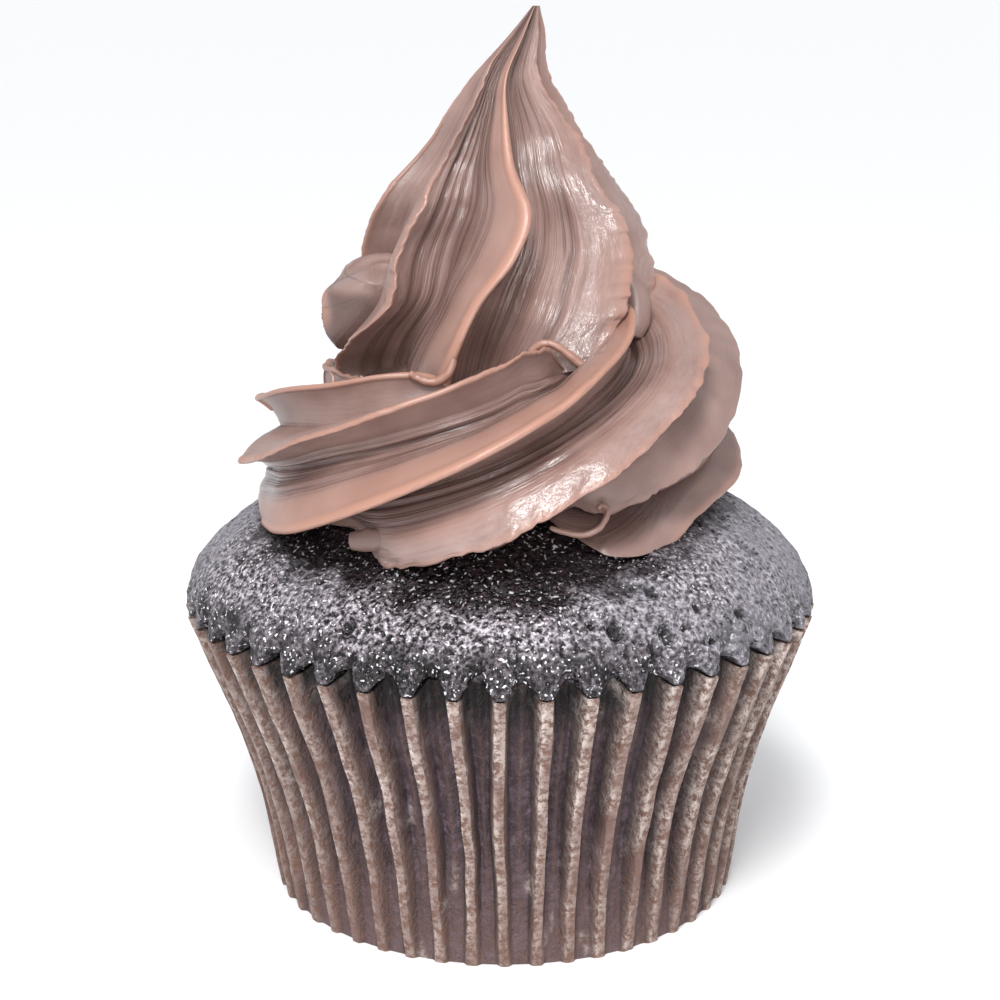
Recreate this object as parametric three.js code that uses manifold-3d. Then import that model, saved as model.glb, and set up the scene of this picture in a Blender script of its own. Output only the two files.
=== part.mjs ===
// A cupcake: chocolate sponge baked in a pleated paper case, with a swirl of piped chocolate
// frosting.  Millimetres, +Z up.  The origin is the centre of the flat base that it stands on.
//
// The frosting is one rope from a seven-pointed star nozzle.  It starts at the front right, runs
// once round the dome, climbs over its own start, tucks in behind and is pulled up into a peak.
// Every ridge of the swirl is a lobe of that star.
import * as THREE from 'three';
import { mergeVertices } from 'three/addons/utils/BufferGeometryUtils.js';
import Module from 'manifold-3d';

// ---- driving dimensions ------------------------------------------------------------------
const GAP = 0.3;                 // clearance between neighbouring pieces

const PLEATS = 48;               // folds round the paper case
const CASE_HEIGHT = 32.9;
const CASE_WALL = 0.4;
const CASE_FLOOR = 0.5;
const PLEAT_DEPTH = 2.6;         // at the rim, fading to a crease at the base
const BASE_PLEAT_DEPTH = 0.3;
const CREST_DROP = 0.5;          // the rim is this much lower on the crests than in the valleys
const PLEAT_RUN = 0.75;          // share of the height over which the pleats deepen
const PLEAT_WANDER = 0.25;       // how far a fold strays from straight, at the middle
const WANDER_STEP = 2.4;         // how unlike its neighbour each fold strays (radians a pleat)
// The case's outer radius at the crests, by height: [height, radius].
const CASE_SIDE = [[0, 26.2], [13.5, 28.5], [21, 30.7], [28.4, 33.5], [32.9, 35.0]];
const CASE_LEAN = 0.5;           // the base sits this far towards +X of the rim
// One pleat from crest to crest, as [share of the pleat, share of the depth]: a narrow flat
// crest, two steep flanks and a wide flat valley.
const PLEAT_SECTION = [[-0.14, 0], [0.14, 0], [0.32, 1], [0.68, 1]];

const SPONGE_RADIUS = 34.8;
const DOME_RISE = 17;            // from the rim of the case to the top of the sponge
const DOME_SHOULDER = [1.6, 1.8];    // exponents of the dome's profile: slope inside, roll outside
const DOME_RINGS = [0, 0.03, 0.1, 0.2, 0.32, 0.46, 0.7];    // 0 rim .. 1 centre
const DOME_SIDES = 2 * PLEATS;
const DOME_LUMPS = 0.35;
const DOME_SMOOTH_EDGE = 1 / 6;  // the lumps swell from nothing over this share from the rim
const DOME_SCALLOP = 1.6;        // how far the dome's edge draws in over each valley
const SCALLOP_FADE = 0.06;       // share of the way in over which that fades
const CUTTER_BOTTOM = 20;        // the solid that cuts the frosting reaches down to here

const LOBES = 7;                 // points of the star nozzle
const LOBE_STEP = 2 * Math.PI / LOBES;
const LOBE_VALLEY = 0.66;        // where the valley lies between two ridges: the far side is steep
const LOBE_DEPTH = 0.45;         // depth of a valley, as a share of the rope's radius
const LOBE_POWER = 1.55;         // how thin the ridges are
const LOBE_HOOK = 0.2;           // how far a ridge leans over the steep side, in lobes
const LOBE_SECTION = [0, 0.14, 0.38, 0.66, 0.83, 0.94];    // points of one lobe, ridge to ridge
const ROPE_SPREAD = 1.14;        // the rope sags to this much more width than height
const ROPE_LUMPS = 0.3;
const LUMPS_A_LOBE = 8;          // how fast the lumps change from one ridge to the next
const SWIRL_OFFSET = 0.45;       // the swirl is piped this far towards +X of the rim's centre

// The rope, by bearing in degrees from +X, counted on past 360 on the second time round:
// distance of its middle from the axis, height of its middle, radius to the ridges, and how far
// the star has rolled (degrees, 0 = a ridge points straight out).
const ROPE = [
  { bearing: 288, reach: 15.4, height: 47.8, radius: 9.6, roll: -254 },
  { bearing: 340, reach: 15.3, height: 47.2, radius: 9.6, roll: -214 },
  { bearing: 400, reach: 15.8, height: 47.7, radius: 9.3, roll: -160 },
  { bearing: 470, reach: 17.7, height: 48.0, radius: 8.9, roll: -106 },
  { bearing: 540, reach: 19.9, height: 49.0, radius: 9.0, roll: -60 },
  { bearing: 580, reach: 19.8, height: 50.0, radius: 10.0, roll: -30 },
  { bearing: 620, reach: 19.4, height: 51.5, radius: 10.8, roll: 15 },
  { bearing: 660, reach: 16.1, height: 54.2, radius: 10.9, roll: 58 },
  { bearing: 700, reach: 14.0, height: 56.2, radius: 10.6, roll: 99 },
  { bearing: 740, reach: 13.7, height: 57.8, radius: 10.9, roll: 138 },
  { bearing: 790, reach: 13.4, height: 59.9, radius: 10.9, roll: 188 },
  { bearing: 840, reach: 12.3, height: 62.0, radius: 9.6, roll: 244 },
  { bearing: 880, reach: 12.6, height: 64.9, radius: 7.8, roll: 293 },
  { bearing: 905, reach: 14.0, height: 65.3, radius: 5.8, roll: 316 },
];
// Its tail is plumper than the star: from this bearing to that, up to this share of a circle.
const ROPE_PLUMP = { from: 830, to: 890, share: 0.55, radius: 0.92 };
const ROPE_CUTS = [288, 470, 790, 905];      // the rope is built in stretches of under a full turn
const ROPE_STEP = { 288: 15, 470: 10, 790: 16 };    // degrees between rings, by stretch
const ROPE_PLUG = { lap: 7, share: 0.8, step: 2 };    // how the stretches plug into each other
const ROPE_START = { taper: 26, blunt: 1.5 };    // degrees over which it swells from its start
const ROPE_CORE = 0.6;           // the rope's inner side stays this far from the axis

// Where one ridge of the rope falls short: [lobe, bearing, width in degrees, reach].
const ROPE_NUDGES = [
  [-1, 588, 12, -3.6],           // the lowest ridge ends bluntly over the dome
  [1, 540, 14, -2.4], [1, 668, 16, -3.2], [2, 548, 16, 1.0], [2, 640, 20, -1.6],
  [-2, 310, 70, -3.0], [3, 300, 60, -1.5], [2, 890, 30, -1.6],
];

// The peak, by height: where its middle leans to along X, radius to the ridges, and the bearing
// of its front ridge.
const PEAK = [
  { height: 58, lean: -1.5, radius: 16.2, bearing: 253 },
  { height: 63, lean: -1.2, radius: 17.0, bearing: 257.5 },
  { height: 68, lean: -0.3, radius: 16.6, bearing: 262 },
  { height: 72.5, lean: 0.4, radius: 15.2, bearing: 272 },
  { height: 77, lean: 0.5, radius: 12.9, bearing: 278 },
  { height: 81, lean: 0.5, radius: 9.6, bearing: 271 },
  { height: 85.3, lean: 0.4, radius: 6.7, bearing: 267.5 },
  { height: 89.3, lean: 0.6, radius: 4.1, bearing: 264 },
  { height: 93.4, lean: 2.3, radius: 2.0, bearing: 258 },
  { height: 96.5, lean: 3.3, radius: 0.4, bearing: 255 },
];
const PEAK_TOP = PEAK.at(-1).height;
const PEAK_BOTTOM = PEAK[0].height;
const PEAK_RINGS = 16;
const PEAK_SMOOTH_TIP = 8;       // the lumps fade where the peak is thinner than this
// Height of the peak's lower edge round it: [bearing, height].
const PEAK_FOOT = [[0, 65.5], [45, 67], [100, 68], [155, 69], [174, 66], [187, 57.8], [255, 58],
  [295, 60.4], [320, 62], [335, 62.8], [360, 65.5]];
// The edge turns under in rings: [share of the radius, rise].
const PEAK_UNDERSIDE = [[0.45, 2.0], [0.8, 0.6], [0.94, -0.1]];
// What the rope encloses is frosting too, as a plug of [radius, height] turned round the axis.
const CORE_SIDE = [[15, 38], [15, 58], [9, 60], [8, 70]];
const CORE_SIDES = 24;
// Lobes counted clockwise from the front one: [lobe, height, width, turn in degrees, reach].
const PEAK_NUDGES = [
  [1, 58, 3, -15, 0.6], [1, 67, 4, 18, 0], [1, 88, 5, 20, 0],
  [6, 67, 5, 8, 0.3], [6, 77.5, 4, -7, 0], [6, 84, 4, 16, 0.2], [2, 72, 5, -4, 0.8],
  [5, 73, 5, 4, 0.6],
];

const COLOURS = { paper_case: 0x8a6d6b, sponge: 0x2b2628, frosting: 0x8a675f };
const ROUGHNESS = { paper_case: 0.6, sponge: 0.55, frosting: 0.4 };

// ---- helpers -----------------------------------------------------------------------------
const radians = (degrees) => degrees * Math.PI / 180;
const degrees = (angle) => angle * 180 / Math.PI;
const wrapped = (bearing) => ((bearing % 360) + 360) % 360;
const mix = (a, b, share) => a + (b - a) * share;
const clamp01 = (value) => Math.min(1, Math.max(0, value));
const bump = (x, centre, width) => Math.exp(-(((x - centre) / width) ** 2));

/** A smooth function of x through the points [x, y], level with its ends beyond them. */
function through(points) {
  const last = points.length - 1;
  const secant = (i) => (points[i + 1][1] - points[i][1]) / (points[i + 1][0] - points[i][0]);
  const slopes = points.map((point, i) => {
    if (i === 0) return secant(0);
    if (i === last) return secant(last - 1);
    const before = point[0] - points[i - 1][0];
    const after = points[i + 1][0] - point[0];
    return (before * secant(i) + after * secant(i - 1)) / (before + after);
  });
  return (x) => {
    let i = points.findIndex((point) => x <= point[0]) - 1;
    if (x > points[last][0]) i = last - 1;
    i = Math.max(0, i);
    const span = points[i + 1][0] - points[i][0];
    const t = clamp01((x - points[i][0]) / span);
    return (1 + 2 * t) * (1 - t) ** 2 * points[i][1] + t * (1 - t) ** 2 * span * slopes[i]
      + t * t * (3 - 2 * t) * points[i + 1][1] + t * t * (t - 1) * span * slopes[i + 1];
  };
}

/** One value of a list of stations as a smooth function of another. */
const track = (stations, along, name) => through(stations.map((s) => [s[along], s[name]]));

/** Slow uneven swelling, within about -1 .. 1, over two directions in millimetres. */
const lumps = (along, across) => 0.5 * Math.sin(along / 2.3 + 1.3 * Math.sin(across / 3.1))
  + 0.3 * Math.sin(across / 1.9 - along / 5.7 + 2) + 0.2 * Math.sin(along / 1.1 + across / 1.4);

/** A closed surface through rings of equal length, with a fan to the middle of each end. */
function loft(rings, startPoint, endPoint) {
  const size = rings[0].length;
  const points = rings.flat();
  const start = points.push(startPoint ?? middleOf(rings[0])) - 1;
  const end = points.push(endPoint ?? middleOf(rings.at(-1))) - 1;
  const faces = [];
  for (let ring = 0; ring < rings.length - 1; ring += 1) {
    for (let i = 0; i < size; i += 1) {
      const here = ring * size + i;
      const next = ring * size + (i + 1) % size;
      faces.push([here, next, next + size], [here, next + size, here + size]);
    }
  }
  const lastRing = (rings.length - 1) * size;
  for (let i = 0; i < size; i += 1) {
    faces.push([start, (i + 1) % size, i], [end, lastRing + i, lastRing + (i + 1) % size]);
  }
  return outward(points, faces);
}

function middleOf(ring) {
  const sum = ring.reduce((total, point) => total.map((value, axis) => value + point[axis]));
  return sum.map((value) => value / ring.length);
}

/** A geometry whose faces point outwards. */
function outward(points, faces) {
  const vectors = points.map((point) => new THREE.Vector3(...point));
  const volume = faces.reduce((total, [a, b, c]) => total
    + vectors[a].dot(new THREE.Vector3().crossVectors(vectors[b], vectors[c])), 0);
  const geometry = new THREE.BufferGeometry();
  geometry.setAttribute('position', new THREE.Float32BufferAttribute(points.flat(), 3));
  geometry.setIndex(faces.flatMap(([a, b, c]) => (volume > 0 ? [a, b, c] : [a, c, b])));
  return geometry;
}

// ---- the star section --------------------------------------------------------------------
/** The points of one lobe: share of the lobe, and how far up the ridge (0 valley .. 1 ridge). */
const LOBE_POINTS = LOBE_SECTION.map((share) => {
  const climb = share < LOBE_VALLEY ? 1 - share / LOBE_VALLEY
    : (share - LOBE_VALLEY) / (1 - LOBE_VALLEY);
  return { share, ridge: climb ** LOBE_POWER };
});

/**
 * All points round the star.  Each gives its angle in lobes from ridge 0, its radius as a share
 * of the ridges' radius, its height up the ridge and the lobe that the ridge belongs to.
 */
const STAR = Array.from({ length: LOBES }, (_, lobe) => LOBE_POINTS.map(({ share, ridge }) => ({
  turn: lobe + share + LOBE_HOOK * (1 - ridge ** 2),
  radius: 1 - LOBE_DEPTH * (1 - ridge),
  ridge,
  lobe: share < LOBE_VALLEY ? lobe : (lobe + 1) % LOBES,
  share,
  from: lobe,
}))).flat();

// ---- paper case --------------------------------------------------------------------------
const caseRadius = through(CASE_SIDE);

/** How deep the pleats are at a height. */
function pleatDepth(height) {
  const share = clamp01(height / (PLEAT_RUN * CASE_HEIGHT));
  return mix(BASE_PLEAT_DEPTH, PLEAT_DEPTH, share * (2 - share));
}

/** How far the middle of the case lies towards +X at a height. */
const caseMiddle = (height) => CASE_LEAN * (1 - height / CASE_HEIGHT);

/** One ring of the case: its crests at the outer radius less an inset. */
function caseRing(height, inset, z = height) {
  const ring = [];
  for (let pleat = 0; pleat < PLEATS; pleat += 1) {
    const stray = PLEAT_WANDER * Math.sin(pleat * WANDER_STEP)
      * Math.sin(Math.PI * height / CASE_HEIGHT);
    for (const [share, depth] of PLEAT_SECTION) {
      const angle = (pleat + share) * 2 * Math.PI / PLEATS + stray / caseRadius(height);
      const radius = caseRadius(height) - depth * pleatDepth(height) - inset;
      const drop = height === CASE_HEIGHT ? CREST_DROP * (1 - depth) : 0;
      ring.push([caseMiddle(height) + radius * Math.cos(angle), radius * Math.sin(angle), z - drop]);
    }
  }
  return ring;
}

/** The pleated cup, open at the top: up the outside, over the rim and down the inside. */
function paperCase() {
  const heights = CASE_SIDE.map(([height]) => height);
  const outside = heights.map((height) => caseRing(height, 0));
  const inside = heights.slice(1).reverse().map((height) => caseRing(height, CASE_WALL));
  const floor = caseRing(0, CASE_WALL, CASE_FLOOR);
  return loft([...outside, ...inside, floor], [CASE_LEAN, 0, 0], [CASE_LEAN, 0, CASE_FLOOR]);
}

// ---- sponge ------------------------------------------------------------------------------
/** Height of the sponge's dome at a distance from the axis. */
function domeHeight(distance) {
  const [slope, roll] = DOME_SHOULDER;
  const share = Math.min(1, distance / SPONGE_RADIUS);
  return CASE_HEIGHT + GAP + DOME_RISE * (1 - share ** slope) ** (1 / roll);
}

/** One ring of the dome, a share of the way from the rim to the centre, raised by a lift. */
function domeRing(share, lift) {
  const ring = [];
  const distance = SPONGE_RADIUS * Math.sqrt(1 - share ** 2);
  for (let i = 0; i < DOME_SIDES; i += 1) {
    const angle = 2 * Math.PI * i / DOME_SIDES;
    const isOverValley = i % 2 === 1;
    const scallop = isOverValley ? DOME_SCALLOP * bump(share, 0, SCALLOP_FADE) : 0;
    const radius = distance - scallop;
    const lump = DOME_LUMPS * lumps(radius * Math.cos(angle), radius * Math.sin(angle))
      * clamp01(share / DOME_SMOOTH_EDGE);
    ring.push([radius * Math.cos(angle), radius * Math.sin(angle),
      domeHeight(distance) + lump + lift]);
  }
  return ring;
}

/** A level ring round the axis, or round a middle that lies towards +X of it. */
function circle(radius, z, count = DOME_SIDES, middle = 0) {
  return Array.from({ length: count }, (_, i) => {
    const angle = 2 * Math.PI * i / count;
    return [middle + radius * Math.cos(angle), radius * Math.sin(angle), z];
  });
}

/** The sponge: a plug inside the pleats, and the dome that rolls out over the rim. */
function sponge() {
  const plug = (height) => caseRadius(height) - pleatDepth(height) - CASE_WALL - 2 * GAP;
  const plugRing = (height, z = height) => circle(plug(height), z, DOME_SIDES, caseMiddle(height));
  const below = CASE_SIDE.slice(1).map(([height]) => plugRing(height));
  below.unshift(plugRing(0, CASE_FLOOR + GAP));
  below.push(plugRing(CASE_HEIGHT, CASE_HEIGHT + GAP));
  const dome = DOME_RINGS.map((share) => domeRing(share, 0));
  return loft([...below, ...dome], [CASE_LEAN, 0, CASE_FLOOR + GAP], [0, 0, domeHeight(0)]);
}

/** What the frosting is cut away from: the dome, raised by the gap. */
function domeCutter() {
  const dome = DOME_RINGS.map((share) => domeRing(share, GAP));
  return loft([circle(SPONGE_RADIUS, CUTTER_BOTTOM), ...dome], null, [0, 0, domeHeight(0) + GAP]);
}

// ---- frosting ----------------------------------------------------------------------------
const ropeTrack = Object.fromEntries(['reach', 'height', 'radius', 'roll']
  .map((name) => [name, track(ROPE, 'bearing', name)]));
const peakTrack = Object.fromEntries(['lean', 'radius', 'bearing']
  .map((name) => [name, track(PEAK, 'height', name)]));
const peakFoot = through(PEAK_FOOT);

/** Sum of the nudges that reach a lobe at a place along it. */
function nudge(nudges, lobe, place, column) {
  return nudges.filter(([which]) => (which + LOBES) % LOBES === lobe % LOBES)
    .reduce((total, row) => total + row[column] * bump(place, row[1], row[2]), 0);
}

/** The rope's section at a bearing, shrunk to a share of its size. */
function ropeRing(bearing, size = 1) {
  const angle = radians(bearing);
  const swell = Math.sqrt(clamp01((bearing - ROPE[0].bearing + ROPE_START.blunt)
    / ROPE_START.taper));
  const plump = ROPE_PLUMP.share * clamp01((bearing - ROPE_PLUMP.from)
    / (ROPE_PLUMP.to - ROPE_PLUMP.from));
  return STAR.map(({ turn, radius, ridge, lobe }) => {
    const roll = radians(ropeTrack.roll(bearing)) + turn * LOBE_STEP;
    const along = angle * ropeTrack.reach(bearing);
    const spoke = size * swell * (ropeTrack.radius(bearing) * mix(radius, ROPE_PLUMP.radius, plump)
      + ridge * nudge(ROPE_NUDGES, lobe, bearing, 3)
      + ROPE_LUMPS * lumps(along, turn * LUMPS_A_LOBE));
    const distance = ropeTrack.reach(bearing) + ROPE_SPREAD * spoke * Math.cos(roll);
    const kept = ROPE_CORE + Math.log1p(Math.exp(2 * (distance - ROPE_CORE))) / 2;
    return [kept * Math.cos(angle), kept * Math.sin(angle),
      ropeTrack.height(bearing) + spoke * Math.sin(roll)];
  });
}

/** The rope's stretches, each plugged a little way into the next. */
function ropeStretches() {
  return ROPE_CUTS.slice(0, -1).map((start, i) => {
    const isFirst = i === 0;
    const first = isFirst ? start : start + ROPE_PLUG.step;
    const last = ROPE_CUTS[i + 1];
    const steps = Math.round((last - first) / ROPE_STEP[start]);
    const rings = Array.from({ length: steps + 1 }, (_, k) => ropeRing(mix(first, last, k / steps)));
    if (!isFirst) rings.unshift(ropeRing(start - ROPE_PLUG.lap, ROPE_PLUG.share));
    rings.push(ropeRing(last + ROPE_PLUG.lap, ROPE_PLUG.share));
    return loft(rings);
  });
}

/** The peak's star at a share of the way from its foot (0) to its tip (1). */
function peakRing(share) {
  return STAR.map(({ turn, radius, ridge, lobe, from, share: across }) => {
    const round = wrapped(peakTrack.bearing(PEAK_BOTTOM) - degrees(turn * LOBE_STEP));
    const level = mix(peakFoot(round), PEAK_TOP, share);
    const twist = mix(nudge(PEAK_NUDGES, from, level, 3), nudge(PEAK_NUDGES, from + 1, level, 3),
      across);
    const angle = radians(peakTrack.bearing(level) + twist) - turn * LOBE_STEP;
    const fade = clamp01(peakTrack.radius(level) / PEAK_SMOOTH_TIP);
    const spoke = peakTrack.radius(level) * radius
      + ridge * nudge(PEAK_NUDGES, lobe, level, 4)
      + ROPE_LUMPS * fade * lumps(level, turn * LUMPS_A_LOBE);
    return [peakTrack.lean(level) + spoke * Math.cos(angle), spoke * Math.sin(angle), level];
  });
}

function peak() {
  const rings = Array.from({ length: PEAK_RINGS }, (_, i) => peakRing(i / (PEAK_RINGS - 1)));
  const middle = PEAK[0].lean;
  const underside = PEAK_UNDERSIDE.map(([share, rise]) => rings[0].map(([x, y, z]) => [
    mix(middle, x, share), y * share, z + rise]));
  return loft([...underside, ...rings]);
}

// ---- joining -----------------------------------------------------------------------------
const wasm = await Module();
wasm.setup();

/** A geometry as a manifold-3d solid. */
function solidOf(geometry) {
  const bare = geometry.clone();
  bare.deleteAttribute('normal');
  bare.deleteAttribute('uv');
  const merged = mergeVertices(bare, 1e-5);
  return new wasm.Manifold(new wasm.Mesh({
    numProp: 3,
    vertProperties: new Float32Array(merged.attributes.position.array),
    triVerts: new Uint32Array(merged.index.array),
  }));
}

/** The outer surface of a solid, as a geometry: hollows that joining sealed are filled. */
function geometryOf(solid) {
  const mesh = solid.getMesh();
  const groupOf = Array.from({ length: mesh.vertProperties.length / 3 }, (_, i) => i);
  const rootOf = (vertex) => {
    let root = vertex;
    while (groupOf[root] !== root) root = groupOf[root];
    groupOf[vertex] = root;
    return root;
  };
  const triangles = [];
  for (let i = 0; i < mesh.triVerts.length; i += 3) {
    const [a, b, c] = mesh.triVerts.subarray(i, i + 3);
    triangles.push([a, b, c]);
    groupOf[rootOf(b)] = rootOf(a);
    groupOf[rootOf(c)] = rootOf(a);
  }
  const groups = Map.groupBy(triangles, ([a]) => rootOf(a));
  const [outer] = [...groups.values()].sort((one, other) => other.length - one.length);
  const geometry = new THREE.BufferGeometry();
  geometry.setAttribute('position', new THREE.BufferAttribute(mesh.vertProperties, 3));
  geometry.setIndex(outer.flat());
  return geometry;
}

/** The frosting in one piece, cut to sit on the dome. */
function frosting() {
  const core = loft(CORE_SIDE.map(([radius, height]) => circle(radius, height, CORE_SIDES)));
  const whole = [core, ...ropeStretches(), peak()].map(solidOf)
    .reduce((all, next) => all.add(next));
  const placed = whole.translate(SWIRL_OFFSET, 0, 0);
  return geometryOf(placed.subtract(solidOf(domeCutter())));
}

// ---- the cupcake -------------------------------------------------------------------------
const cupcake = new THREE.Group();
for (const [name, geometry] of [['paper_case', paperCase()], ['sponge', sponge()],
  ['frosting', frosting()]]) {
  geometry.computeVertexNormals();
  const material = new THREE.MeshStandardMaterial({
    color: COLOURS[name], roughness: ROUGHNESS[name], metalness: 0,
  });
  const mesh = new THREE.Mesh(geometry, material);
  mesh.name = name;
  cupcake.add(mesh);
}

export default cupcake;
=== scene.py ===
"""A chocolate cupcake: sponge in a pleated paper case, under a star-piped swirl of frosting.

Shapes are worked out in millimetres, with +Z up and the origin at the middle of the flat base;
the finished meshes are in metres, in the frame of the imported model.
"""
import logging
import math
from dataclasses import dataclass, field
from enum import Enum
from typing import Callable, Dict, Sequence, Tuple, Union

import bpy
import numpy as np
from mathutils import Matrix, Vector


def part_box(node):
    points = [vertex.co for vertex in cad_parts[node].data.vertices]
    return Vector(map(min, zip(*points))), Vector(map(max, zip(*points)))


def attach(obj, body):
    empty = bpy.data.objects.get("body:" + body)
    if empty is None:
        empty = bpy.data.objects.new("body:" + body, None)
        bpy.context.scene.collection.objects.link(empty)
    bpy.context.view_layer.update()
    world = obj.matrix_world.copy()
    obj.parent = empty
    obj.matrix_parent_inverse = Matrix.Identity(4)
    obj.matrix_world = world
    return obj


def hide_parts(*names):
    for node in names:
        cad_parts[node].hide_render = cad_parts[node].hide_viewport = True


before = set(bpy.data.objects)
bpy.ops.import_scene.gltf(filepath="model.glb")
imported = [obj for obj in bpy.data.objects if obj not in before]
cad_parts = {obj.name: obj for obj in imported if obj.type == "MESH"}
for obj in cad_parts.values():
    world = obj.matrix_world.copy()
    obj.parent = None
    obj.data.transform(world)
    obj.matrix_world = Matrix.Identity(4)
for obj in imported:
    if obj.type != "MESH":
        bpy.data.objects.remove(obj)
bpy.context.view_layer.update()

LOG = logging.getLogger("cupcake")
MM = 0.001
FULL_TURN = 2 * math.pi
WELD = 1e-6
SMOOTH_BELOW = math.radians(60)
BODY = "root"

Grid = np.ndarray
Number = Union[float, Grid]
Pairs = Sequence[Tuple[float, float]]
Place = Tuple[float, float, float]
Marks = Dict[str, Grid]
Form = Callable[[Grid, Grid], "Shaped"]
Value = Union[bpy.types.NodeSocket, str, float, Tuple[float, ...]]
Inputs = Union[Dict[Union[int, str], Value], Sequence[Value]]
Stops = Sequence[Tuple[float, Union[str, float]]]


# ---- numbers -----------------------------------------------------------------------------
def mix(start: Number, end: Number, share: Number) -> Grid:
    """The value a share of the way from start to end."""
    return start + (end - start) * share


def clamp01(value: Number) -> Grid:
    """The value, kept within 0 .. 1."""
    return np.clip(value, 0.0, 1.0)


def ease(start: float, end: float, value: Number) -> Grid:
    """A smooth step from 0 at start to 1 at end; end may be the smaller."""
    share = clamp01((value - start) / (end - start))
    return share * share * (3 - 2 * share)


def bump(value: Number, centre: float, width: float) -> Grid:
    """A bell of height 1 round a centre."""
    return np.exp(-(((value - centre) / width) ** 2))


def about_axis(radius: Grid, angle: Grid, height: Grid, middle: Number = 0.0) -> Grid:
    """Points at distances and angles round an upright axis that crosses X at the middle."""
    return np.stack([middle + radius * np.cos(angle), radius * np.sin(angle), height], -1)


class Track:
    """A smooth function through stations, level with its ends beyond them."""

    def __init__(self, places: Sequence[float], values: Sequence[float]) -> None:
        """Works out the slope at each station.

        Args:
            places: where the stations are, rising.
            values: the function's value at each.
        """
        self.places = np.array(places, float)
        self.values = np.array(values, float)
        spans = np.diff(self.places)
        secants = np.diff(self.values) / spans
        inner = (spans[:-1] * secants[1:] + spans[1:] * secants[:-1]) / (spans[:-1] + spans[1:])
        self.slopes = np.concatenate([secants[:1], inner, secants[-1:]])

    def __call__(self, at: Number) -> Grid:
        """The function's value at a place or at each of many."""
        at = np.asarray(at, float)
        i = np.clip(np.searchsorted(self.places, at) - 1, 0, len(self.places) - 2)
        span = self.places[i + 1] - self.places[i]
        t = clamp01((at - self.places[i]) / span)
        return ((1 + 2 * t) * (1 - t) ** 2 * self.values[i] + t * (1 - t) ** 2 * span * self.slopes[i]
                + t * t * (3 - 2 * t) * self.values[i + 1] + t * t * (t - 1) * span * self.slopes[i + 1])


class Noise:
    """Smooth repeatable unevenness, within about -1 .. 1."""

    SIZE = 64

    def __init__(self, seed: int) -> None:
        """Draws the lattice of values that the noise runs through."""
        self.lattice = np.random.default_rng(seed).uniform(-1, 1, (self.SIZE,) * 3)

    def _octave(self, x: Grid, y: Grid, z: Grid) -> Grid:
        """The noise at its coarsest, at places counted in cells of the lattice."""
        x, y, z = np.broadcast_arrays(x, y, z)
        cells, shares = [], []
        for place in (x, y, z):
            cell = np.floor(place).astype(int)
            share = place - cell
            cells.append((cell % self.SIZE, (cell + 1) % self.SIZE))
            shares.append(share * share * (3 - 2 * share))
        total = np.zeros(x.shape)
        for i in (0, 1):
            for j in (0, 1):
                for k in (0, 1):
                    weight = ((shares[0] if i else 1 - shares[0]) * (shares[1] if j else 1 - shares[1])
                              * (shares[2] if k else 1 - shares[2]))
                    total += weight * self.lattice[cells[0][i], cells[1][j], cells[2][k]]
        return total

    def at(self, x: Grid, y: Number = 0.5, z: Number = 0.5, octaves: int = 1) -> Grid:
        """The noise at places counted in its own cells.

        Args:
            x, y, z: the places; one that is left out is the same for all.
            octaves: how many ever finer layers are added up.
        Returns:
            The noise at each place.
        """
        total, strength = 0.0, 1.0
        for octave in range(octaves):
            scale = 2 ** octave
            total = total + strength * self._octave(x * scale, y * scale + 7.3 * octave, z * scale)
            strength /= 2
        return total


# ---- meshes ------------------------------------------------------------------------------
@dataclass
class Shaped:
    """What a form gives for a sheet: points and pattern places in mm, and marks of 0 .. 1."""

    points: Grid
    pattern: Grid
    marks: Marks = field(default_factory=dict)


def select_only(thing: bpy.types.Object) -> None:
    """Selects one object alone and makes it the active one."""
    bpy.ops.object.select_all(action="DESELECT")
    thing.select_set(True)
    bpy.context.view_layer.objects.active = thing


def laid_sheet(name: str, columns: int, rows: int, form: Form, is_open: bool = False) -> bpy.types.Object:
    """A closed shell made from a grid whose left and right edges meet.

    Args:
        name: the object's name.
        columns: faces round it.
        rows: faces along it.
        form: gives the shape for the shares round (0 .. 1) and along (0 .. 1).
        is_open: whether the ends stay open.
    Returns:
        The object, at the origin, with its place in its mesh.
    """
    bpy.ops.object.select_all(action="DESELECT")
    bpy.ops.mesh.primitive_grid_add(x_subdivisions=columns, y_subdivisions=rows, size=1)
    shell = bpy.context.object
    shell.name = name
    shell.data.name = name
    round_share, along_share = np.meshgrid(np.linspace(0, 1, columns + 1), np.linspace(0, 1, rows + 1))
    shaped = form(round_share, along_share)
    mesh = shell.data
    mesh.vertices.foreach_set("co", (shaped.points * MM).ravel())
    corners = np.empty(len(mesh.loops), int)
    mesh.loops.foreach_get("vertex_index", corners)
    mesh.uv_layers[0].data.foreach_set("uv", shaped.pattern.reshape(-1, 2)[corners].ravel())
    for mark, values in shaped.marks.items():
        layer = mesh.attributes.new(mark, "FLOAT", "POINT")
        layer.data.foreach_set("value", np.broadcast_to(values, round_share.shape).astype(float).ravel())
    mesh.update()
    bpy.ops.object.mode_set(mode="EDIT")
    bpy.ops.mesh.select_all(action="SELECT")
    bpy.ops.mesh.remove_doubles(threshold=WELD)
    if not is_open:
        bpy.ops.mesh.select_all(action="DESELECT")
        bpy.ops.mesh.select_non_manifold()
        bpy.ops.mesh.fill_holes(sides=0)
        bpy.ops.mesh.select_all(action="SELECT")
    bpy.ops.mesh.normals_make_consistent(inside=False)
    bpy.ops.object.mode_set(mode="OBJECT")
    return shell


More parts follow.
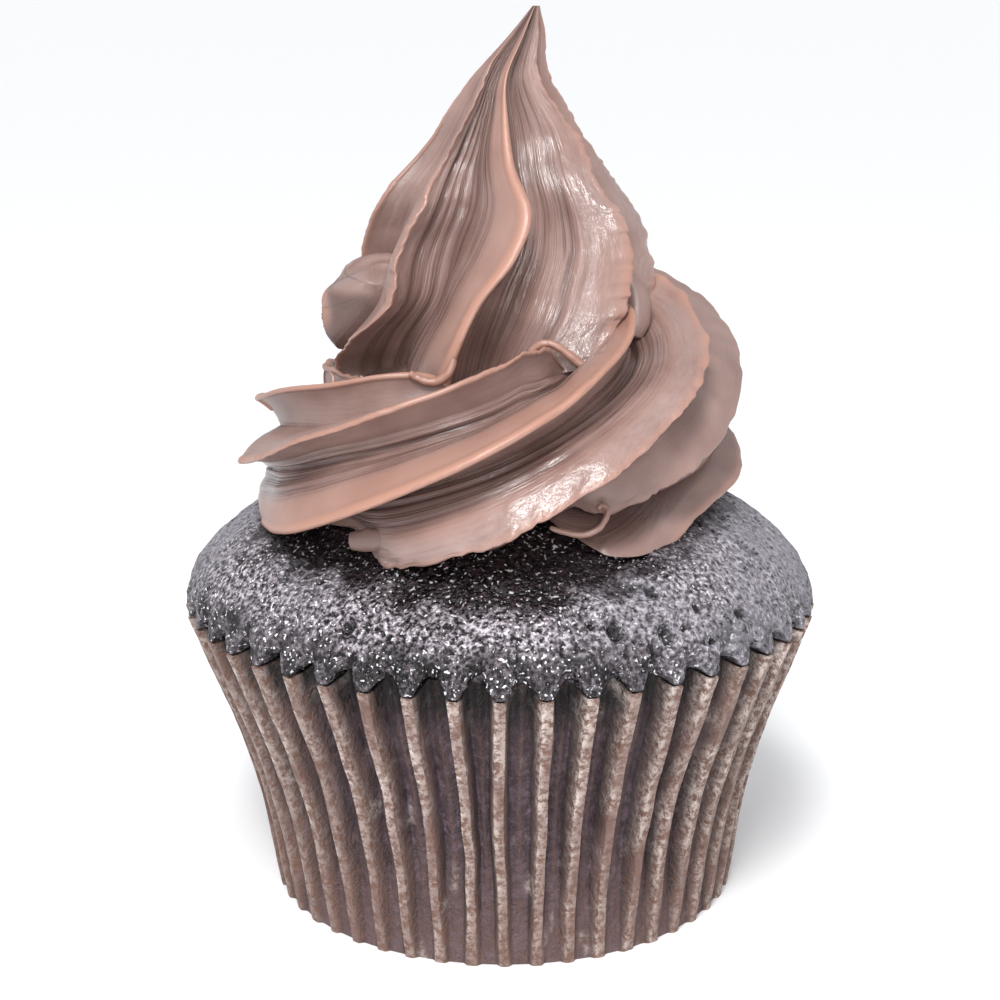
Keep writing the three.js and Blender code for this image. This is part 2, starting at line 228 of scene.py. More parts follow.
def combine(base: bpy.types.Object, other: bpy.types.Object, operation: str) -> None:
    """Joins another solid to a base, or cuts it away, and removes the other."""
    select_only(base)
    joint = base.modifiers.new("joined", "BOOLEAN")
    joint.operation = operation
    joint.solver = "MANIFOLD"
    joint.object = other
    bpy.ops.object.modifier_apply(modifier=joint.name)
    bpy.data.objects.remove(other, do_unlink=True)


def keep_largest_shell(thing: bpy.types.Object) -> bpy.types.Object:
    """Drops the scraps and sealed hollows that joining leaves."""
    name = thing.name
    select_only(thing)
    bpy.ops.mesh.separate(type="LOOSE")
    shells = sorted(bpy.context.selected_objects, key=lambda shell: len(shell.data.vertices))
    kept = shells.pop()
    for scrap in shells:
        bpy.data.objects.remove(scrap, do_unlink=True)
    kept.name = name
    select_only(kept)
    return kept


def finish_piece(piece: bpy.types.Object, node: str, material: bpy.types.Material) -> None:
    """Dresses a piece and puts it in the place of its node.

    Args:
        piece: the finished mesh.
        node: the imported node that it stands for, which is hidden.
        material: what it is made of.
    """
    select_only(piece)
    bpy.ops.object.shade_smooth_by_angle(angle=SMOOTH_BELOW)
    piece.data.materials.clear()
    piece.data.materials.append(material)
    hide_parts(node)
    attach(piece, BODY)
    triangles = sum(len(face.vertices) - 2 for face in piece.data.polygons)
    LOG.info("%s: %d triangles, material %s", piece.name, triangles, material.name)


# ---- materials ---------------------------------------------------------------------------
def colour(code: Union[str, float]) -> Tuple[float, float, float, float]:
    """Linear red, green, blue and alpha of an sRGB hex colour, or of a mask's own value."""
    if not isinstance(code, str):
        return (code, code, code, 1.0)
    shares = [int(code[i:i + 2], 16) / 255 for i in (1, 3, 5)]
    return tuple(share / 12.92 if share <= 0.04045 else ((share + 0.055) / 1.055) ** 2.4
                 for share in shares) + (1.0,)


def per_metre(size_mm: float) -> float:
    """The scale that makes a pattern's features this large on Object coordinates."""
    return 1 / (size_mm * MM)


@dataclass(frozen=True)
class Pattern:
    """Fine mottling of a material.

    size is that of its features in mm. With a length they are drawn out to it along the piece's
    own pattern map, else they lie on its Object coordinates. detail is how many finer layers there
    are, and roughness how strongly those show.
    """

    size: float
    length: float = 0.0
    detail: float = 2.0
    roughness: float = 0.5


class Recipe:
    """A material in the making: its node tree, the mesh's marks and its patterns."""

    def __init__(self, name: str, marks: Sequence[str] = (), patterns: Sequence[Pattern] = ()) -> None:
        """Starts the material.

        Args:
            name: what the real material is.
            marks: which of the mesh's marks it reads.
            patterns: the mottling that it is laid out by.
        """
        self.material = bpy.data.materials.new(name)
        self.material.use_nodes = True
        self.tree = self.material.node_tree
        self.marks = [self.add("Attribute", output="Fac", attribute_name=mark) for mark in marks]
        self.patterns = []
        for pattern in patterns:
            if pattern.length:
                stretch = {"Vector": self.add("UVMap", uv_map="UVMap"),
                           "Scale": (1 / pattern.size, 1 / pattern.length, 1)}
                laid = {"Vector": self.add("Mapping", stretch), "Scale": 1.0}
            else:
                laid = {"Vector": self.add("TexCoord", output="Object"),
                        "Scale": per_metre(pattern.size)}
            layers = {"Detail": pattern.detail, "Roughness": pattern.roughness}
            self.patterns.append(self.add("TexNoise", {**laid, **layers}))

    def plug(self, node: bpy.types.Node, inputs: Inputs) -> None:
        """Links or sets a node's sockets, given by name or in their order."""
        for socket, value in inputs.items() if isinstance(inputs, dict) else enumerate(inputs):
            if isinstance(value, bpy.types.NodeSocket):
                self.tree.links.new(value, node.inputs[socket])
            else:
                node.inputs[socket].default_value = colour(value) if isinstance(value, str) else value

    def add(self, kind: str, inputs: Inputs = (), output: Union[int, str] = 0, stops: Stops = (),
            **settings: object) -> bpy.types.NodeSocket:
        """Adds one node with its settings and links.

        Args:
            kind: the node's type, without ShaderNode in front of it.
            inputs: what its sockets are linked or set to.
            output: which of its outputs is wanted.
            stops: for a colour ramp, its places and colours.
            settings: the node's own properties.
        Returns:
            That output.
        """
        node = self.tree.nodes.new("ShaderNode" + kind)
        for name, value in settings.items():
            setattr(node, name, value)
        self.plug(node, inputs)
        while stops and len(node.color_ramp.elements) < len(stops):
            node.color_ramp.elements.new(0.5)
        for number, (place, value) in enumerate(stops):
            node.color_ramp.elements[number].position = place
            node.color_ramp.elements[number].color = colour(value)
        return node.outputs[output]

    def finished(self, base: Value, layers: Sequence[Tuple[Value, Value]],
                 reliefs: Sequence[Tuple[Value, float, float]],
                 inputs: Dict[str, Value]) -> bpy.types.Material:
        """Lays colours and reliefs over one another and plugs them into the shader.

        Args:
            base: the colour underneath.
            layers: for each colour over it, its share and the colour.
            reliefs: for each relief, its height, its strength and its depth in mm.
            inputs: what the shader's other sockets are linked or set to.
        Returns:
            The material.
        """
        for share, over in layers:
            base = self.add("Mix", {0: share, 6: base, 7: over}, 2, data_type="RGBA")
        normal = {}
        for height, strength, depth in reliefs:
            normal = {"Normal": self.add("Bump", {"Height": height, "Strength": strength,
                                                  "Distance": depth * MM, **normal})}
        self.plug(self.tree.nodes["Principled BSDF"], {"Base Color": base, **normal, **inputs})
        return self.material


@dataclass(frozen=True)
class WhippedFrosting:
    """Chocolate buttercream pushed through a metal star nozzle.

    The nozzle's teeth comb the valleys and leave them glossy, with painted shade in the comb troughs;
    thin edges let light through, painted as an orange-brown glow, and where the cream dragged it
    tore into a fine pale grain that glitters, its paleness partly painted sheen.
    """

    body: str = "#92776F"
    shade: str = "#7D625B"
    # Painted shade: laid in the comb troughs, in sunk slits, on the tail's lower face and on shaded curls.
    painted_shade: str = "#46302D"
    # Painted glow: laid where light comes through thin lips and on the gentle faces beside them.
    edge: str = "#AC7F6D"
    # Pale torn grain: partly its own paler tone, partly painted sheen.
    pale: str = "#A8938F"
    cloud: Pattern = Pattern(6.0)
    comb: Pattern = Pattern(0.3, 16.0, 3.0, 0.6)
    grain: Pattern = Pattern(0.36, 1.3, 3.0, 0.6)
    cloud_stops: Stops = ((0.35, 0.0), (0.65, 1.0))
    # Painted shade: dark lines along the comb troughs.
    comb_shade_stops: Stops = ((0.36, 0.7), (0.46, 0.0))
    flake_and_sheen_stops: Stops = ((0.35, 0.2), (0.7, 0.65))
    gloss_stops: Stops = ((0.0, 0.42), (1.0, 0.22))
    painted_shade_share: float = 0.8
    torn_grain: float = 0.78
    plain_grain: float = 0.22
    comb_depth: float = 0.2
    grain_depth: float = 0.17

    def material(self) -> bpy.types.Material:
        """Builds the material."""
        recipe = Recipe("whipped chocolate frosting", ("torn", "combed", "painted_shade", "painted_glow"),
                        (self.cloud, self.comb, self.grain))
        torn, combed, painted_shade, painted_glow = recipe.marks
        cloud, comb, grain = recipe.patterns
        add = recipe.add
        clouds, comb_shade_lines, flakes_and_sheen = [
            add("ValToRGB", [pattern], stops=stops)
            for pattern, stops in ((cloud, self.cloud_stops), (comb, self.comb_shade_stops),
                                   (grain, self.flake_and_sheen_stops))]
        # Painted shade: the shade that the mesh marks, and dark lines along the comb troughs.
        marked_shade, comb_shade_lines, flakes_and_sheen, combs = [
            add("Math", pair, operation="MULTIPLY")
            for pair in ((painted_shade, self.painted_shade_share), (comb_shade_lines, combed), (flakes_and_sheen, torn), (comb, combed))]
        painted_shading = add("Math", [marked_shade, comb_shade_lines], operation="MAXIMUM")
        worked = add("Math", [combed, torn], operation="MAXIMUM")
        strength = add("Math", [torn, self.torn_grain, self.plain_grain], operation="MULTIPLY_ADD")
        rough = add("Math", [grain, strength], operation="MULTIPLY")
        return recipe.finished(
            self.shade,
            [(clouds, self.body), (painted_shading, self.painted_shade), (flakes_and_sheen, self.pale), (painted_glow, self.edge)],
            [(combs, 1.0, self.comb_depth), (rough, 1.0, self.grain_depth)],
            {"Roughness": add("ValToRGB", [worked], stops=self.gloss_stops), "Specular IOR Level": 0.7,
             "Subsurface Weight": 0.12, "Subsurface Radius": (1.0, 0.45, 0.3), "Subsurface Scale": MM})


@dataclass(frozen=True)
class MoistSponge:
    """Dark chocolate sponge with a moist open crumb.

    Where it is wet, the crumb is painted near black in its hollows and pale on its tops, with painted
    glints; elsewhere it is painted a light grey that stands in for sheen, with painted shade in a few
    fine pits; round the rim it is darker, and under the frosting shade is painted on it.
    """

    # Painted shade and highlights: near black where the crumb's bump is low, pale where it is high.
    crumb_stops: Stops = ((0.38, "#0D0A0B"), (0.45, "#3E373C"), (0.5, "#6D656B"), (0.57, "#91888F"),
                          (0.69, "#D2CCD2"))
    # Painted sheen: a light grey over the dark sponge, with painted shade in fine pits.
    grey_sheen_stops: Stops = ((0.31, "#232026"), (0.38, "#6F6B71"), (0.5, "#88838B"), (0.7, "#A39FA6"))
    spark_stops: Stops = ((0.64, 0.0), (0.7, 1.0))
    clump_stops: Stops = ((0.3, 0.3), (0.55, 1.0))
    gloss_stops: Stops = ((0.0, 0.6), (1.0, 0.3))
    # Painted shade: near black in pores, pits, the gaps between the rim's beads, over the plug and in the
    # arches over the pleat valleys.
    pore: str = "#0F0C0D"
    # Multiplied in: darker round the rim, and painted shade under the frosting.
    rim_dark_and_painted_shade: str = "#433437"
    # Painted glints.
    glint: str = "#F4F2F6"
    crumb: Pattern = Pattern(0.5, roughness=0.6)
    facet: Pattern = Pattern(0.4, detail=1.0)
    patch: Pattern = Pattern(4.0)
    pore_share: float = 0.95
    crumb_depth: float = 0.4

    def material(self) -> bpy.types.Material:
        """Builds the material."""
        recipe = Recipe("moist chocolate sponge", ("wet", "rim_dark_and_painted_shade", "painted_hollow_shade", "glint"),
                        (self.crumb, self.facet, self.patch))
        wet, rim_dark_and_painted_shade, painted_hollow_shade, glint = recipe.marks
        crumb, facet, patch = recipe.patterns
        add = recipe.add
        grey_sheen, open_crumb, spark, clump, gloss = [
            add("ValToRGB", [pattern], stops=stops)
            for pattern, stops in ((crumb, self.grey_sheen_stops), (crumb, self.crumb_stops),
                                   (facet, self.spark_stops), (patch, self.clump_stops),
                                   (wet, self.gloss_stops))]
        base = add("Mix", {0: wet, 6: grey_sheen, 7: open_crumb}, 2, data_type="RGBA")
        base = add("Mix", {0: rim_dark_and_painted_shade, 6: base, 7: self.rim_dark_and_painted_shade}, 2, data_type="RGBA",
                   blend_type="MULTIPLY")
        # Painted shade in hollows.
        pores = add("Math", [painted_hollow_shade, self.pore_share], operation="MULTIPLY")
        # Painted glints where the facet pattern peaks.
        sparks = add("Math", [spark, clump], operation="MULTIPLY")
        sparks = add("Math", [sparks, glint], operation="MULTIPLY")
        return recipe.finished(base, [(pores, self.pore), (sparks, self.glint)],
                               [(crumb, 1.0, self.crumb_depth)],
                               {"Roughness": gloss, "Specular IOR Level": 0.3})


@dataclass(frozen=True)
class GreasedPaper:
    """Thin white baking paper: brown where cake fat soaked it, pale and fibrous along the folds."""

    soaked: str = "#3E3239"
    stained: str = "#765A52"
    dry: str = "#DDCDC4"
    fleck: str = "#71503F"
    wetted: str = "#6E5B64"
    # Painted shade: near black in the creases beside the crests and at the top of each valley.
    painted_paper_shade: str = "#171114"
    fibre: Pattern = Pattern(0.45, 1.6, 4.0, 0.6)
    blotch: Pattern = Pattern(0.75, detail=4.0, roughness=0.75)
    mottle: Pattern = Pattern(1.3, detail=4.0, roughness=0.7)
    streak_stops: Stops = ((0.4, 0.0), (0.75, 0.2))
    mottle_stops: Stops = ((0.46, 0.0), (0.62, 0.8))
    patch_stops: Stops = ((0.41, 0.05), (0.6, 1.0))
    spot_stops: Stops = ((0.37, 0.85), (0.52, 0.0))
    blotch_depth: float = 0.55
    fibre_depth: float = 0.16

    def material(self) -> bpy.types.Material:
        """Builds the material."""
        recipe = Recipe("greased baking paper", ("crest", "dry", "arch"),
                        (self.fibre, self.blotch, self.mottle))
        crest, dry, painted_paper_shade = recipe.marks
        fibre, blotch, mottle = recipe.patterns
        add = recipe.add
        streaks, mottles, patches, spots = [
            add("ValToRGB", [pattern], stops=stops)
            for pattern, stops in ((fibre, self.streak_stops), (mottle, self.mottle_stops),
                                   (blotch, self.patch_stops), (blotch, self.spot_stops))]
        valley = add("Math", [1.0, crest], operation="SUBTRACT")
        mottles, patches, spots = [
            add("Math", pair, operation="MULTIPLY")
            for pair in ((mottles, valley), (dry, patches), (crest, spots))]
        return recipe.finished(
            self.soaked,
            [(crest, self.stained), (streaks, self.stained), (mottles, self.wetted),
             (painted_paper_shade, self.painted_paper_shade), (patches, self.dry), (spots, self.fleck)],
            [(blotch, 1.0, self.blotch_depth), (fibre, 0.8, self.fibre_depth)], {"Roughness": 0.55})


# ---- paper case --------------------------------------------------------------------------
@dataclass
class PaperCase:
    """The pleated cup that the sponge was baked in; its side is given as heights and radii."""

    pleats: int = 48
    side: Pairs = ((0, 26.2), (13.5, 28.5), (21, 30.7), (28.4, 33.5), (32.9, 35.0))
    lean: float = 0.5
    pleat_depth: float = 2.6
    base_pleat_depth: float = 0.5
    pleat_run: float = 0.75
    crest_half: float = 0.12
    flank_end: float = 0.27
    crest_drop: float = 0.4
    arch_rise: float = 1.1
    valley_swell: float = 0.22
    crinkle: float = 0.10
    fine_crinkle: float = 0.07
    inset: float = 0.12
    wander: float = 0.25
    wander_step: float = 2.4
    wall: float = 0.3
    map_radius: float = 30.0
    map_floor: float = 26.0
    samples: int = 16
    rows: int = 58
    floor_rows: int = 3

    def __post_init__(self) -> None:
        """Prepares the outline and the unevenness."""
        _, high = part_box("paper_case")
        self.height = high.z / MM
        self.outline = Track(*zip(*self.side))
        self.noise = Noise(11)

    def depth_at(self, height: Grid) -> Grid:
        """How deep the pleats are at a height."""
        share = clamp01(height / (self.pleat_run * self.height))
        return mix(self.base_pleat_depth, self.pleat_depth, share * (2 - share))

    def unevenness(self, number: Grid, height: Grid, share: Grid) -> Tuple[Grid, Grid]:
        """How far a pleat strays sideways in mm, and its width against the plain one."""
        sway = self.noise.at(number * 3.7, height / 7.0, octaves=2) * np.sin(math.pi * share) ** 0.5
        stray = self.wander * (np.sin(number * self.wander_step) * np.sin(math.pi * share) + 0.9 * sway)
        return stray, 1 + 0.25 * self.noise.at(number * 5.1 + 9, height / 9.0)

    def stains(self, pleat: Grid, across: Grid, height: Grid, share: Grid, rise: Grid) -> Marks:
        """How the cake's fat colours the paper, where it is paler on the folds, and where shade is painted
        in the creases and under the sponge's edge.

        Args:
            pleat, across: the place in pleats, round the case and from the middle of its own pleat.
            height, share: the place up the case, in mm and as a share of its height.
            rise: 0 in a valley, 1 on a crest.
        Returns:
            The marks for stained crests, for pale dry paper, and for painted shade in the creases and in the
            arches under the sponge's edge.
        """
        noise = self.noise.at
        crest_left_edge = bump(across, -self.crest_half, 0.08)
        scuff = clamp01(0.65 + 0.8 * noise(pleat * 4 / 3, height / 5.0, 3.5, octaves=3))
        top = ease(0.1, 0.95, share)
        flat = ease(0.55, 0.95, rise)
        scrape = clamp01(1.6 * noise(pleat * 8 / 3, height / 3.0, 8.5, octaves=2) - 0.75) * (1 - flat)
        # Paler on the crests' flats, along their left edges and towards the top, in patches.
        dry = mix(0.45, 1.0, top) * (0.6 * flat + 0.7 * crest_left_edge * rise ** 0.5) * scuff + 0.5 * scrape
        stripe = 0.3 * bump(0.5 - np.abs(across), 0, 0.09) * ease(0.05, 0.4, share)
        crest = np.maximum(rise, stripe) + 0.45 * ease(0.5, 0.0, share)
        # Painted shade in the creases beside each crest.
        painted_paper_shade = 0.85 * bump(np.abs(across), self.crest_half + 0.1, 0.05) * (1.1 - 0.4 * (across > 0))
        painted_paper_shade = painted_paper_shade * clamp01(0.75 + 0.9 * noise(pleat * 4 / 3, height / 6.0, 5.5, octaves=2))
        # Painted shadow at the top of each valley, under the sponge's overhanging edge.
        arch = np.maximum(ease(0.8, 0.95, share) * (1 - flat), painted_paper_shade)
        return {"crest": clamp01(crest), "dry": clamp01(dry), "arch": clamp01(arch)}

    def shape(self, round_share: Grid, along_share: Grid) -> Shaped:
        """The case's outer face from the middle of its base out and up to the rim.

        Args:
            round_share: 0 .. 1 round the case.
            along_share: 0 at the middle of the base, 1 at the rim.
        Returns:
            The shaped sheet with its stains.
        """
        rows = along_share * (self.rows + self.floor_rows)
        floor = clamp01(rows / self.floor_rows)
        share = clamp01((rows - self.floor_rows) / self.rows)
        height = self.height * share
        pleat = round_share * self.pleats
        number = np.floor(pleat + 0.5)
        across = pleat - number
        over = 0.5 * ease(0.2, 0.5, np.abs(across))
        (stray, width), (next_stray, next_width) = [self.unevenness(one % self.pleats, height, share)
                                                    for one in (number, number + np.sign(across))]
        stray, width = mix(stray, next_stray, over), mix(width, next_width, over)
        rise = ease(self.flank_end * width, self.crest_half * width, np.abs(across))
        swell = self.valley_swell * bump(0.5 - np.abs(across), 0, 0.1) * share
        depth = self.depth_at(height) * (1 - np.maximum(rise, swell))
        crinkle = (self.crinkle * self.noise.at(pleat * 4.0, height / 2.6, octaves=2) * clamp01(height / 4)
                   + self.fine_crinkle * rise * self.noise.at(pleat * 12.0, height / 0.9, 2.5, octaves=2))
        radius = self.outline(height) - depth - self.inset + crinkle * (0.4 + 0.6 * (1 - rise))
        angle = pleat / self.pleats * FULL_TURN + stray / radius
        drop = (self.crest_drop * rise * ease(0.9, 1.0, share)
                - self.arch_rise * ease(0.16, 0.4, np.abs(across)) * ease(0.86, 1.0, share))
        radius = radius * np.where(rows < self.floor_rows, floor, 1.0)
        points = about_axis(radius, angle, height - drop, self.lean * (1 - share))
        pattern = np.stack([pleat * FULL_TURN * self.map_radius / self.pleats,
                            height + floor * self.map_floor], -1)
        return Shaped(points, pattern, self.stains(pleat, across, height, share, rise))

    def build(self) -> None:
        """Builds the case and dresses it."""
        cup = laid_sheet("pleated_paper_case", self.pleats * self.samples, self.rows + self.floor_rows,
                         self.shape, is_open=True)
        select_only(cup)
        paper = cup.modifiers.new("paper", "SOLIDIFY")
        paper.thickness = self.wall * MM
        paper.offset = -1
        bpy.ops.object.modifier_apply(modifier=paper.name)
        finish_piece(cup, "paper_case", GreasedPaper().material())


# ---- sponge ------------------------------------------------------------------------------
@dataclass(frozen=True)
class Pit:
    """A burst bubble in the sponge's skin: its place from above, width and depth in mm."""

    x: float
    y: float
    width: float
    depth: float
    stretch: float = 1.0


@dataclass
class Sponge:
    """The cake: a plug in the case and a dome that rolls out over the rim."""

    case: PaperCase
    radius: float = 34.8
    rise: float = 17.0
    gap: float = 0.3
    shoulder: Tuple[float, float] = (1.6, 1.8)
    scallop: float = 1.5
    arch_rise: float = 1.15
    arch_half: float = 0.35
    droop: float = 0.4
    columns: int = 672
    dome_rows: int = 128
    plug_rows: int = 12
    plug_clearance: float = 0.8
    plug_arch: float = 0.75
    map_width: float = 200.0
    skirt: float = 12.0
    contact: float = 0.25
    cutter_grid: Tuple[int, int] = (160, 60)
    sunk: float = 0.5
    # Painted shade under the frosting: the distances from the axis where it starts and where it is full.
    shade_ring: Tuple[float, float] = (26.5, 22.5)
    shade_reach: float = 6.0
    shade_stray: float = 1.8
    # Bearings of the moist sides, their widths in degrees and how moist they are.
    moist_sides: Sequence[Tuple[float, float, float]] = ((-92, 42, 1.0), (-150, 24, 0.5))
    dark_rim_band: float = 0.16
    pits: Sequence[Pit] = (
        Pit(11.1, -30.2, 0.75, 1.0), Pit(16.4, -28.5, 0.8, 1.0), Pit(25.8, -12.4, 0.8, 1.0, 1.8),
        Pit(25.2, -6.2, 0.6, 1.0, 2.0), Pit(-14.7, -28.7, 0.7, 0.6), Pit(-21, -19, 0.7, 0.5))

    def __post_init__(self) -> None:
        """Works out the dome's profile, evenly along its arc."""
        self.rim = self.case.height + self.gap
        self.noise = Noise(23)
        turn = np.linspace(0, math.pi / 2, 600)
        distance = self.radius * np.cos(turn)
        height = self.dome_height(distance)
        arc = np.concatenate([[0], np.cumsum(np.hypot(np.diff(distance), np.diff(height)))])
        self.arc_length = arc[-1]
        self.distance_at = lambda share: np.interp(share * arc[-1], arc, distance)

    def dome_height(self, distance: Grid) -> Grid:
        """Height of the smooth dome at a distance from the axis."""
        slope, roll = self.shoulder
        share = np.minimum(1.0, distance / self.radius)
        return self.rim + self.rise * (1 - share ** slope) ** (1 / roll)

    def relief(self, x: Grid, y: Grid, z: Grid, rim_share: Grid) -> Tuple[Grid, Marks]:
        """How far the crumb stands out of the smooth dome.

        Args:
            x, y, z: the place on the smooth dome.
            rim_share: 0 at the rim, 1 at the top.
        Returns:
            The relief in mm, and marks for wet crumb, for a darker rim with painted shade under the
            frosting, for painted shade in hollows and for painted glints.
        """
        def uneven(size: float, shift: float = 0.0, octaves: int = 1) -> Grid:
            """Unevenness with features of this many mm; each shift gives another one."""
            return self.noise.at(x / size + shift, y / size, z / size, octaves=octaves)

        sector = np.degrees(np.arctan2(y, x))
        moist = sum(share * bump(sector, side, width) for side, width, share in self.moist_sides)
        wet = clamp01(0.12 + moist + 0.45 * self.noise.at(x / 7, y / 7 + 9, z / 7, octaves=2))
        # Painted shade on the sponge round the foot of the frosting, reaching farther on the moist sides.
        inside = np.hypot(x, y) - self.shade_reach * moist - self.shade_stray * uneven(2.4, 60, 2)
        under = ease(*self.shade_ring, inside)
        rim = ease(self.dark_rim_band, 0.3 * self.dark_rim_band, rim_share + 0.05 * uneven(4))
        rim = rim * clamp01(0.25 + moist)
        swell = 0.3 * uneven(8, octaves=2)
        lump = 0.14 * uneven(2.6, 5, 2)
        crumb = mix(0.06, 0.12, wet) * uneven(0.62, octaves=2)
        beads = uneven(1.1, 40)
        pore = clamp01((uneven(1.5, 30, 2) - 0.66) / 0.22)
        relief = swell + lump + crumb + 0.24 * rim * beads - 0.4 * pore
        # Painted shade in pores and in the gaps between the rim's beads.
        painted_hollow_shade = np.maximum(pore, 0.9 * rim * clamp01(-3 * beads))
        for pit in self.pits:
            away = np.hypot((x - pit.x) / pit.stretch, y - pit.y) / pit.width
            bowl = clamp01(1.4 - away) * (y < 0)
            relief = relief - pit.depth * ease(0.0, 0.9, bowl) + 0.25 * bump(away, 1.35, 0.3)
            painted_hollow_shade = np.maximum(painted_hollow_shade, ease(0.1, 0.8, bowl))
        # Darker round the rim, and painted shade under the frosting.
        rim_dark_and_painted_shade = np.maximum(rim * (0.35 + 0.45 * moist), under)
        # Where glints are painted: on wet crumb, less under the frosting, some round the rim.
        glint = clamp01(wet * (1 - 0.6 * under) + 0.25 * under + 0.35 * rim)
        marks = {"wet": wet, "rim_dark_and_painted_shade": rim_dark_and_painted_shade, "painted_hollow_shade": painted_hollow_shade, "glint": glint}
        return relief - self.sunk * under, marks

    def shape(self, round_share: Grid, along_share: Grid) -> Shaped:
        """The sponge's surface from the middle of its base, up the plug and over the dome."""
        rows = along_share * (self.plug_rows + self.dome_rows)
        angle = round_share * FULL_TURN
        dome_share = clamp01((rows - self.plug_rows) / self.dome_rows)
        distance = self.distance_at(dome_share)
        pleat = round_share * self.case.pleats
        valley = 0.5 - 0.5 * np.cos(pleat * FULL_TURN)
        ragged = clamp01(0.62 + 0.7 * self.noise.at(pleat * 4 / 3, 3.3)) * 1.4
        drawn_in = self.scallop * valley ** 2 * bump(dome_share, 0, 0.05)
        smooth_radius = distance - drawn_in
        x, y = smooth_radius * np.cos(angle), smooth_radius * np.sin(angle)
        reach = (0.5 - np.abs(pleat - np.rint(pleat))) / self.arch_half
        arch = ragged * self.arch_rise * np.sqrt(clamp01(1 - reach ** 2))
        z = self.dome_height(distance) + arch * bump(dome_share, 0, 0.06)
        z = z - self.droop * (1 - valley) ** 2 * bump(dome_share, 0, 0.02)
        relief, marks = self.relief(x, y, z, dome_share)
        in_plug = rows < self.plug_rows - 0.5
        # Painted shade over the plug and in the arches over the pleat valleys.
        marks["painted_hollow_shade"] = np.maximum(np.where(in_plug, 1.0, marks["painted_hollow_shade"]),
                                     valley ** 2 * ease(0.014, 0.0, dome_share))
        slope = np.gradient(z, axis=0) / np.minimum(np.gradient(distance, axis=0), -1e-6)
        lean = np.arctan(np.abs(slope))
        fade = ease(0.0, 0.03, dome_share)
        radius = smooth_radius + fade * relief * np.sin(lean)
        top = z + fade * relief * np.cos(lean)
        plug_share = clamp01(rows / (self.plug_rows - 1))
        plug_height = (mix(self.case.wall + 2 * self.gap, self.rim, clamp01(plug_share * 1.09 - 0.09))
                       + self.plug_arch * arch * ease(0.92, 1.0, plug_share))
        plug_radius = (self.case.outline(plug_height) - self.case.depth_at(plug_height)
                       - self.case.wall - self.plug_clearance) * clamp01(rows)
        points = about_axis(np.where(in_plug, plug_radius, radius), angle,
                            np.where(in_plug, plug_height, top))
        pattern = np.stack([round_share * self.map_width, dome_share * self.arc_length], -1)
        return Shaped(points, pattern, marks)

    def build(self) -> None:
        """Builds the sponge and dresses it."""
        cake = laid_sheet("chocolate_sponge", self.columns, self.plug_rows + self.dome_rows, self.shape)
        finish_piece(cake, "sponge", MoistSponge().material())

    def cutter(self) -> bpy.types.Object:
        """The smooth dome as a solid, for cutting the frosting to sit on it."""
        def form(round_share: Grid, along_share: Grid) -> Shaped:
            """The dome's surface above a low skirt."""
            share = clamp01((along_share - 0.1) / 0.9)
            distance = self.distance_at(share)
            height = np.where(along_share < 0.05, self.case.height - self.skirt,
                              self.dome_height(distance) - self.contact)
            points = about_axis(distance, round_share * FULL_TURN, height)
            return Shaped(points, points[..., :2])
        return laid_sheet("dome_cutter", *self.cutter_grid, form)


# ---- frosting ----------------------------------------------------------------------------
@dataclass(frozen=True)
class Nudge:
    """Where a ridge, or the valley after it, strays from the star.

    place and width are degrees along the rope, or mm up the peak. reach is how many mm the ridge
    stands out, turn how many degrees it is turned, and sink how many mm the valley is sunk.
    """

    lobe: int
    place: float
    width: float
    reach: float = 0.0
    turn: float = 0.0
    sink: float = 0.0


class Edge(Enum):
    """How a ridge left the nozzle."""

    SMOOTH = 0.15
    WAVY = 0.6
    TORN = 1.3


@dataclass(frozen=True)
class Ridge:
    """One ridge: its edge, how grainy its flank tore, how deep the combs run from it to the next,
    and how strong the painted glow of light coming through it is.
    """

    edge: Edge
    grain: float
    combs: float
    glow: float = 0.3


@dataclass
class Star:
    """The section that the seven-pointed nozzle gives the frosting."""

    lobes: int = 7
    valley: float = 0.66
    depth: float = 0.45
    power: float = 1.55
    hook: float = 0.2
    lip: float = 0.03
    # Where the points round a lobe lie: closest on the lips and on the steep side.
    crowding: Pairs = ((0, 0), (0.1, 0.055), (0.55, 0.62), (0.93, 0.95), (1, 1))
    # The gentle side's share of the way along the surface from one ridge to the next.
    gentle_run: float = 0.64

    def __post_init__(self) -> None:
        """The angle of one lobe and the spacing of its points."""
        self.step = FULL_TURN / self.lobes
        self.share_at = Track(*zip(*self.crowding))

    def around(self, round_share: Grid) -> "StarPlace":
        """Where points lie on the star, for shares of 0 .. 1 round it from ridge 0."""
        place = round_share * self.lobes
        start = np.minimum(np.floor(place + 1e-9), self.lobes - 1)
        t = place - start
        share = self.share_at(t)
        is_near = share < self.valley
        away = np.where(is_near, share, 1 - share)
        reach = np.where(is_near, self.valley, 1 - self.valley)
        climb = clamp01(1 - (np.sqrt(away ** 2 + self.lip ** 2) - self.lip) / reach)
        ridge = climb ** self.power
        lobe = np.where(is_near, start, start + 1) % self.lobes
        run = np.where(is_near, share / self.valley * self.gentle_run,
                       1 - (1 - share) / (1 - self.valley) * (1 - self.gentle_run))
        return StarPlace(start, share, ridge, lobe.astype(int), start + share + self.hook * (1 - ridge ** 2),
                         start + run)

    def seamless(self, value_at: Callable[[Grid], Grid], turn: Grid) -> Grid:
        """A value that runs on smoothly across the place where the section closes.

        Args:
            value_at: gives the value for places counted in lobes.
            turn: the places, 0 .. the number of lobes.
        Returns:
            The value, faded over the last lobe into what it is at the start.
        """
        return mix(value_at(turn), value_at(turn - self.lobes), ease(self.lobes - 1, self.lobes, turn))


